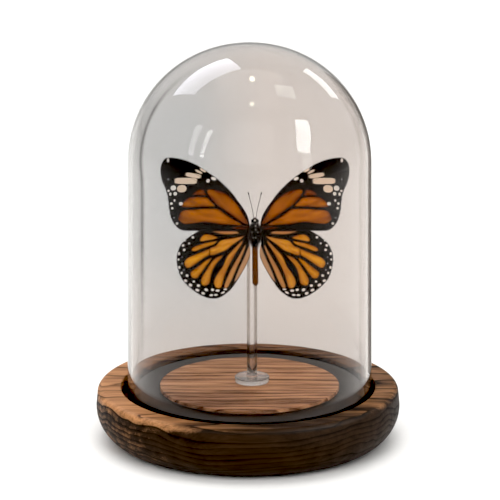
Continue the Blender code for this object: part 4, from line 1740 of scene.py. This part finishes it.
@dataclass(frozen=True)
class SoftLight:
    """A soft light: where it stands, what it faces, its size, power, role, turn in degrees and colour."""

    name: str
    place_m: Point
    aim_m: Point
    size_m: tuple[float, float]
    power: float
    role: LightRole = LightRole.PANEL
    turn: float = 0.0
    warm: str = "#ffffff"


@dataclass
class Studio:
    """Camera, pale floor, even surround and soft lights."""

    elevation: float = 17.5
    width_m: float = 0.2254
    target_m: Point = (0.0009, 0.0, 0.0901)
    distance_m: float = 1.0
    floor_radius_m: float = 8.0
    floor_parts: int = 96
    floor_drop_mm: float = 0.02
    front: float = 0.3
    back: float = 1.0
    black_level: float = 0.019
    card_ends_m: tuple[Point, Point] = ((0.067, 0.1), (0.11, 0.088))
    card_top_m: float = 0.19
    lights: tuple[SoftLight, ...] = (
        SoftLight("front_fill", (0.0, -1.25, 0.95), (0.0, 0.0, 0.1), (1.3, 1.1), 20.0, LightRole.FILL),
        SoftLight("top_fill", (0.0, 0.1, 1.7), (0.0, 0.0, 0.0), (1.4, 1.4), 17.0, LightRole.FILL),
        SoftLight(
            "overhead_panel", (-0.5, 0.67, 1.01), (0.0, -0.02, 0.17), (0.78, 0.5), 12.0,
            turn=-15.0, warm="#f3f3ff",
        ),
        SoftLight("faint_panel", (0.52, 0.17, 1.23), (0.02, -0.03, 0.17), (0.28, 0.3), 2.0),
        SoftLight("lamp_behind_top", (0.03, 0.29, 1.17), CROWN_M, (0.06, 0.09), 1.2, warm="#fff0d8"),
        SoftLight("lamp_before_top", (0.04, -0.26, 1.17), CROWN_M, (0.07, 0.07), 1.2, warm="#fff0d8"),
        SoftLight("strip_right", (0.97, -0.5, 0.8), (0.03, -0.04, 0.15), (0.31, 0.66), 31.0, turn=-31.0),
        SoftLight("strip_right_low", (0.95, -0.62, 0.36), (0.03, -0.04, 0.14), (0.2, 0.4), 1.9, turn=-10.0),
        SoftLight("strip_left_outer", (-0.98, -0.52, 0.72), LEFT_M, (0.14, 0.62), 3.8, turn=12.0),
        SoftLight("strip_left_inner", (-0.83, -0.74, 0.74), LEFT_M, (0.09, 0.58), 6.0, turn=4.0),
        SoftLight("strip_back_right", (0.7, 0.9, 0.7), (0.03, -0.01, 0.17), (0.44, 0.22), 1.8, turn=32.0),
    )

    def build(self) -> None:
        """Builds the studio."""
        self.add_camera()
        # A matt white paper sweep, a little uneven like the tooth of its paper
        paper = Speckled("matt_white_paper_sweep", "#f6f5f3", "#faf9f7", 0.3, 0.9).material()
        turns = [2 * math.pi * k / self.floor_parts for k in range(self.floor_parts)]
        level = -self.floor_drop_mm * MM
        rim = [(self.floor_radius_m * math.cos(t), self.floor_radius_m * math.sin(t), level) for t in turns]
        fan = [(0, k + 1, (k + 1) % self.floor_parts + 1) for k in range(self.floor_parts)]
        self.add_sheet("studio_floor", [(0.0, 0.0, level), *rim], fan, paper)
        self.add_surround()
        # A matt grey card behind the dome's right side, seen only as the fine line at the glass's edge
        card = Speckled("matt_grey_card", "#86817d", "#8e8985", 0.4, 0.95).material()
        (ax, ay), (bx, by), top = *self.card_ends_m, self.card_top_m
        corners = [(ax, ay, 0.0), (bx, by, 0.0), (bx, by, top), (ax, ay, top)]
        sheet = self.add_sheet("studio_card", corners, [(0, 1, 2, 3)], card)
        for rays in ("camera", "diffuse", "transmission", "shadow"):
            setattr(sheet, f"visible_{rays}", False)
        for light in self.lights:
            self.add_light(light)

    def add_camera(self) -> None:
        """Sets the camera at the viewing angle, with no shift and no depth of field."""
        data = bpy.data.cameras.new("studio_camera")
        data.type = "ORTHO"
        data.ortho_scale = self.width_m
        data.clip_end = 50.0
        camera = bpy.data.objects.new("studio_camera", data)
        tilt = math.radians(self.elevation)
        away = Vector((0.0, -math.cos(tilt), math.sin(tilt))) * self.distance_m
        camera.location = Vector(self.target_m) + away
        camera.rotation_euler = Euler((math.pi / 2 - tilt, 0.0, 0.0))
        bpy.context.scene.collection.objects.link(camera)
        bpy.context.scene.camera = camera

    def add_sheet(
        self, name: str, points: Sequence[Point], faces: Sequence[tuple[int, ...]], material: Material
    ) -> Object:
        """Lays a sheet that belongs to the stage.

        Args:
            name: the sheet's name.
            points: its points, in metres.
            faces: its faces.
            material: its finish.

        Returns:
            The sheet's object.
        """
        mesh = bpy.data.meshes.new(name)
        mesh.from_pydata(points, [], faces)
        mesh.materials.append(material)
        sheet = bpy.data.objects.new(name, mesh)
        bpy.context.scene.collection.objects.link(sheet)
        sheet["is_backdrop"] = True
        return sheet

    def add_surround(self) -> None:
        """Sets a pale surround, brightest behind and darker to the right, and the picture's black level."""
        world = bpy.data.worlds.new("studio_surround")
        world.use_nodes = True
        add = partial(add_node, world.node_tree)
        axes = add(AXES, {0: add(PLACE).outputs["Generated"]}).outputs
        aside = add(MATH, {0: axes["X"], 1: -0.25, 2: axes["Y"]}, operation="MULTIPLY_ADD")
        span = {"Value": aside, "From Min": -0.6, "From Max": 0.8, "To Min": self.front, "To Max": self.back}
        depth = add(RANGE, span, interpolation_type="SMOOTHSTEP")
        set_inputs(world.node_tree.nodes["Background"], {"Color": "#fdfcfa", "Strength": depth})
        bpy.context.scene.world = world
        settings = bpy.context.scene.view_settings
        settings.view_transform = "Standard"
        settings.use_curve_mapping = True
        settings.curve_mapping.black_level = (self.black_level,) * 3
        settings.curve_mapping.update()

    def add_light(self, light: SoftLight) -> None:
        """Hangs a rectangular soft light.

        Args:
            light: its place, aim, size, power, role, turn and colour.
        """
        data = bpy.data.lights.new(light.name, "AREA")
        data.shape = "RECTANGLE"
        data.size, data.size_y = light.size_m
        data.energy = light.power
        data.color = linear(light.warm)[:3]
        lamp = bpy.data.objects.new(light.name, data)
        lamp.location = light.place_m
        aim = Vector(light.aim_m) - Vector(light.place_m)
        turn = Euler((0.0, 0.0, math.radians(light.turn))).to_quaternion()
        lamp.rotation_euler = (aim.to_track_quat("-Z", "Y") @ turn).to_euler()
        lamp.visible_camera = False
        lamp.visible_glossy = light.role is LightRole.PANEL
        lamp.visible_diffuse = light.role is LightRole.FILL
        lamp.visible_transmission = light.role is LightRole.FILL
        bpy.context.scene.collection.objects.link(lamp)


def clear_startup() -> None:
    """Removes what a new scene starts with, and keeps the frame."""
    kept = set(frame["bodies"].values()) | set(frame["nodes"].values())
    for obj in [o for o in bpy.data.objects if o not in kept]:
        bpy.data.objects.remove(obj, do_unlink=True)


def write_sizes() -> None:
    """Rounds the solids' box and the dressed model's box into plain numbers, which are not kept."""
    boxes = {"cad": CAD_BOX, "visual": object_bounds()}
    plain = {name: [[round(float(x), 6) for x in corner] for corner in box] for name, box in boxes.items()}


def main() -> None:
    """Builds every sub-assembly in order."""
    logging.basicConfig(level=logging.INFO, format="%(name)s %(message)s")
    clear_startup()
    Studio().build()
    TurnedBase().build()
    stain = StainedPlinthWood().material()
    RoundSlab("plinth_stained", "black_plinth", "black_stain", 51.6, 18.3, 25.2).build(stain)
    # Oiled pine, lighter than the base, with rings on the scale of the plank that it was cut from,
    # and painted shade that darkens it towards the front
    rings = {"ring_mm": 5.4, "heart_mm": (-170.0, -60.0), "streak": 1.5, "relief_mm": 0.05}
    oiled_and_shaded = PlainSawnPine("oiled_pine_disc", early="#d9a47a", late="#613d28", front_dark=0.16, **rings)
    RoundSlab("disc_oiled", "centre_disc", "disc_wood", 40.4, 25.5, 27.1).build(oiled_and_shaded.material())
    GlassDome().build()
    ClearStand().build()
    limbs = limb_tree()
    WingSet().build(limbs, hair_tree(True))
    ButterflyBody().build(limbs, hair_tree(False))
    antenna = Chitin("antenna_dark_chitin", dark="#140e0a", roughness=0.4).material()
    for side in Side:
        Antenna(side).build(limbs, antenna)
    write_sizes()


if __name__ == "__main__":
    main()
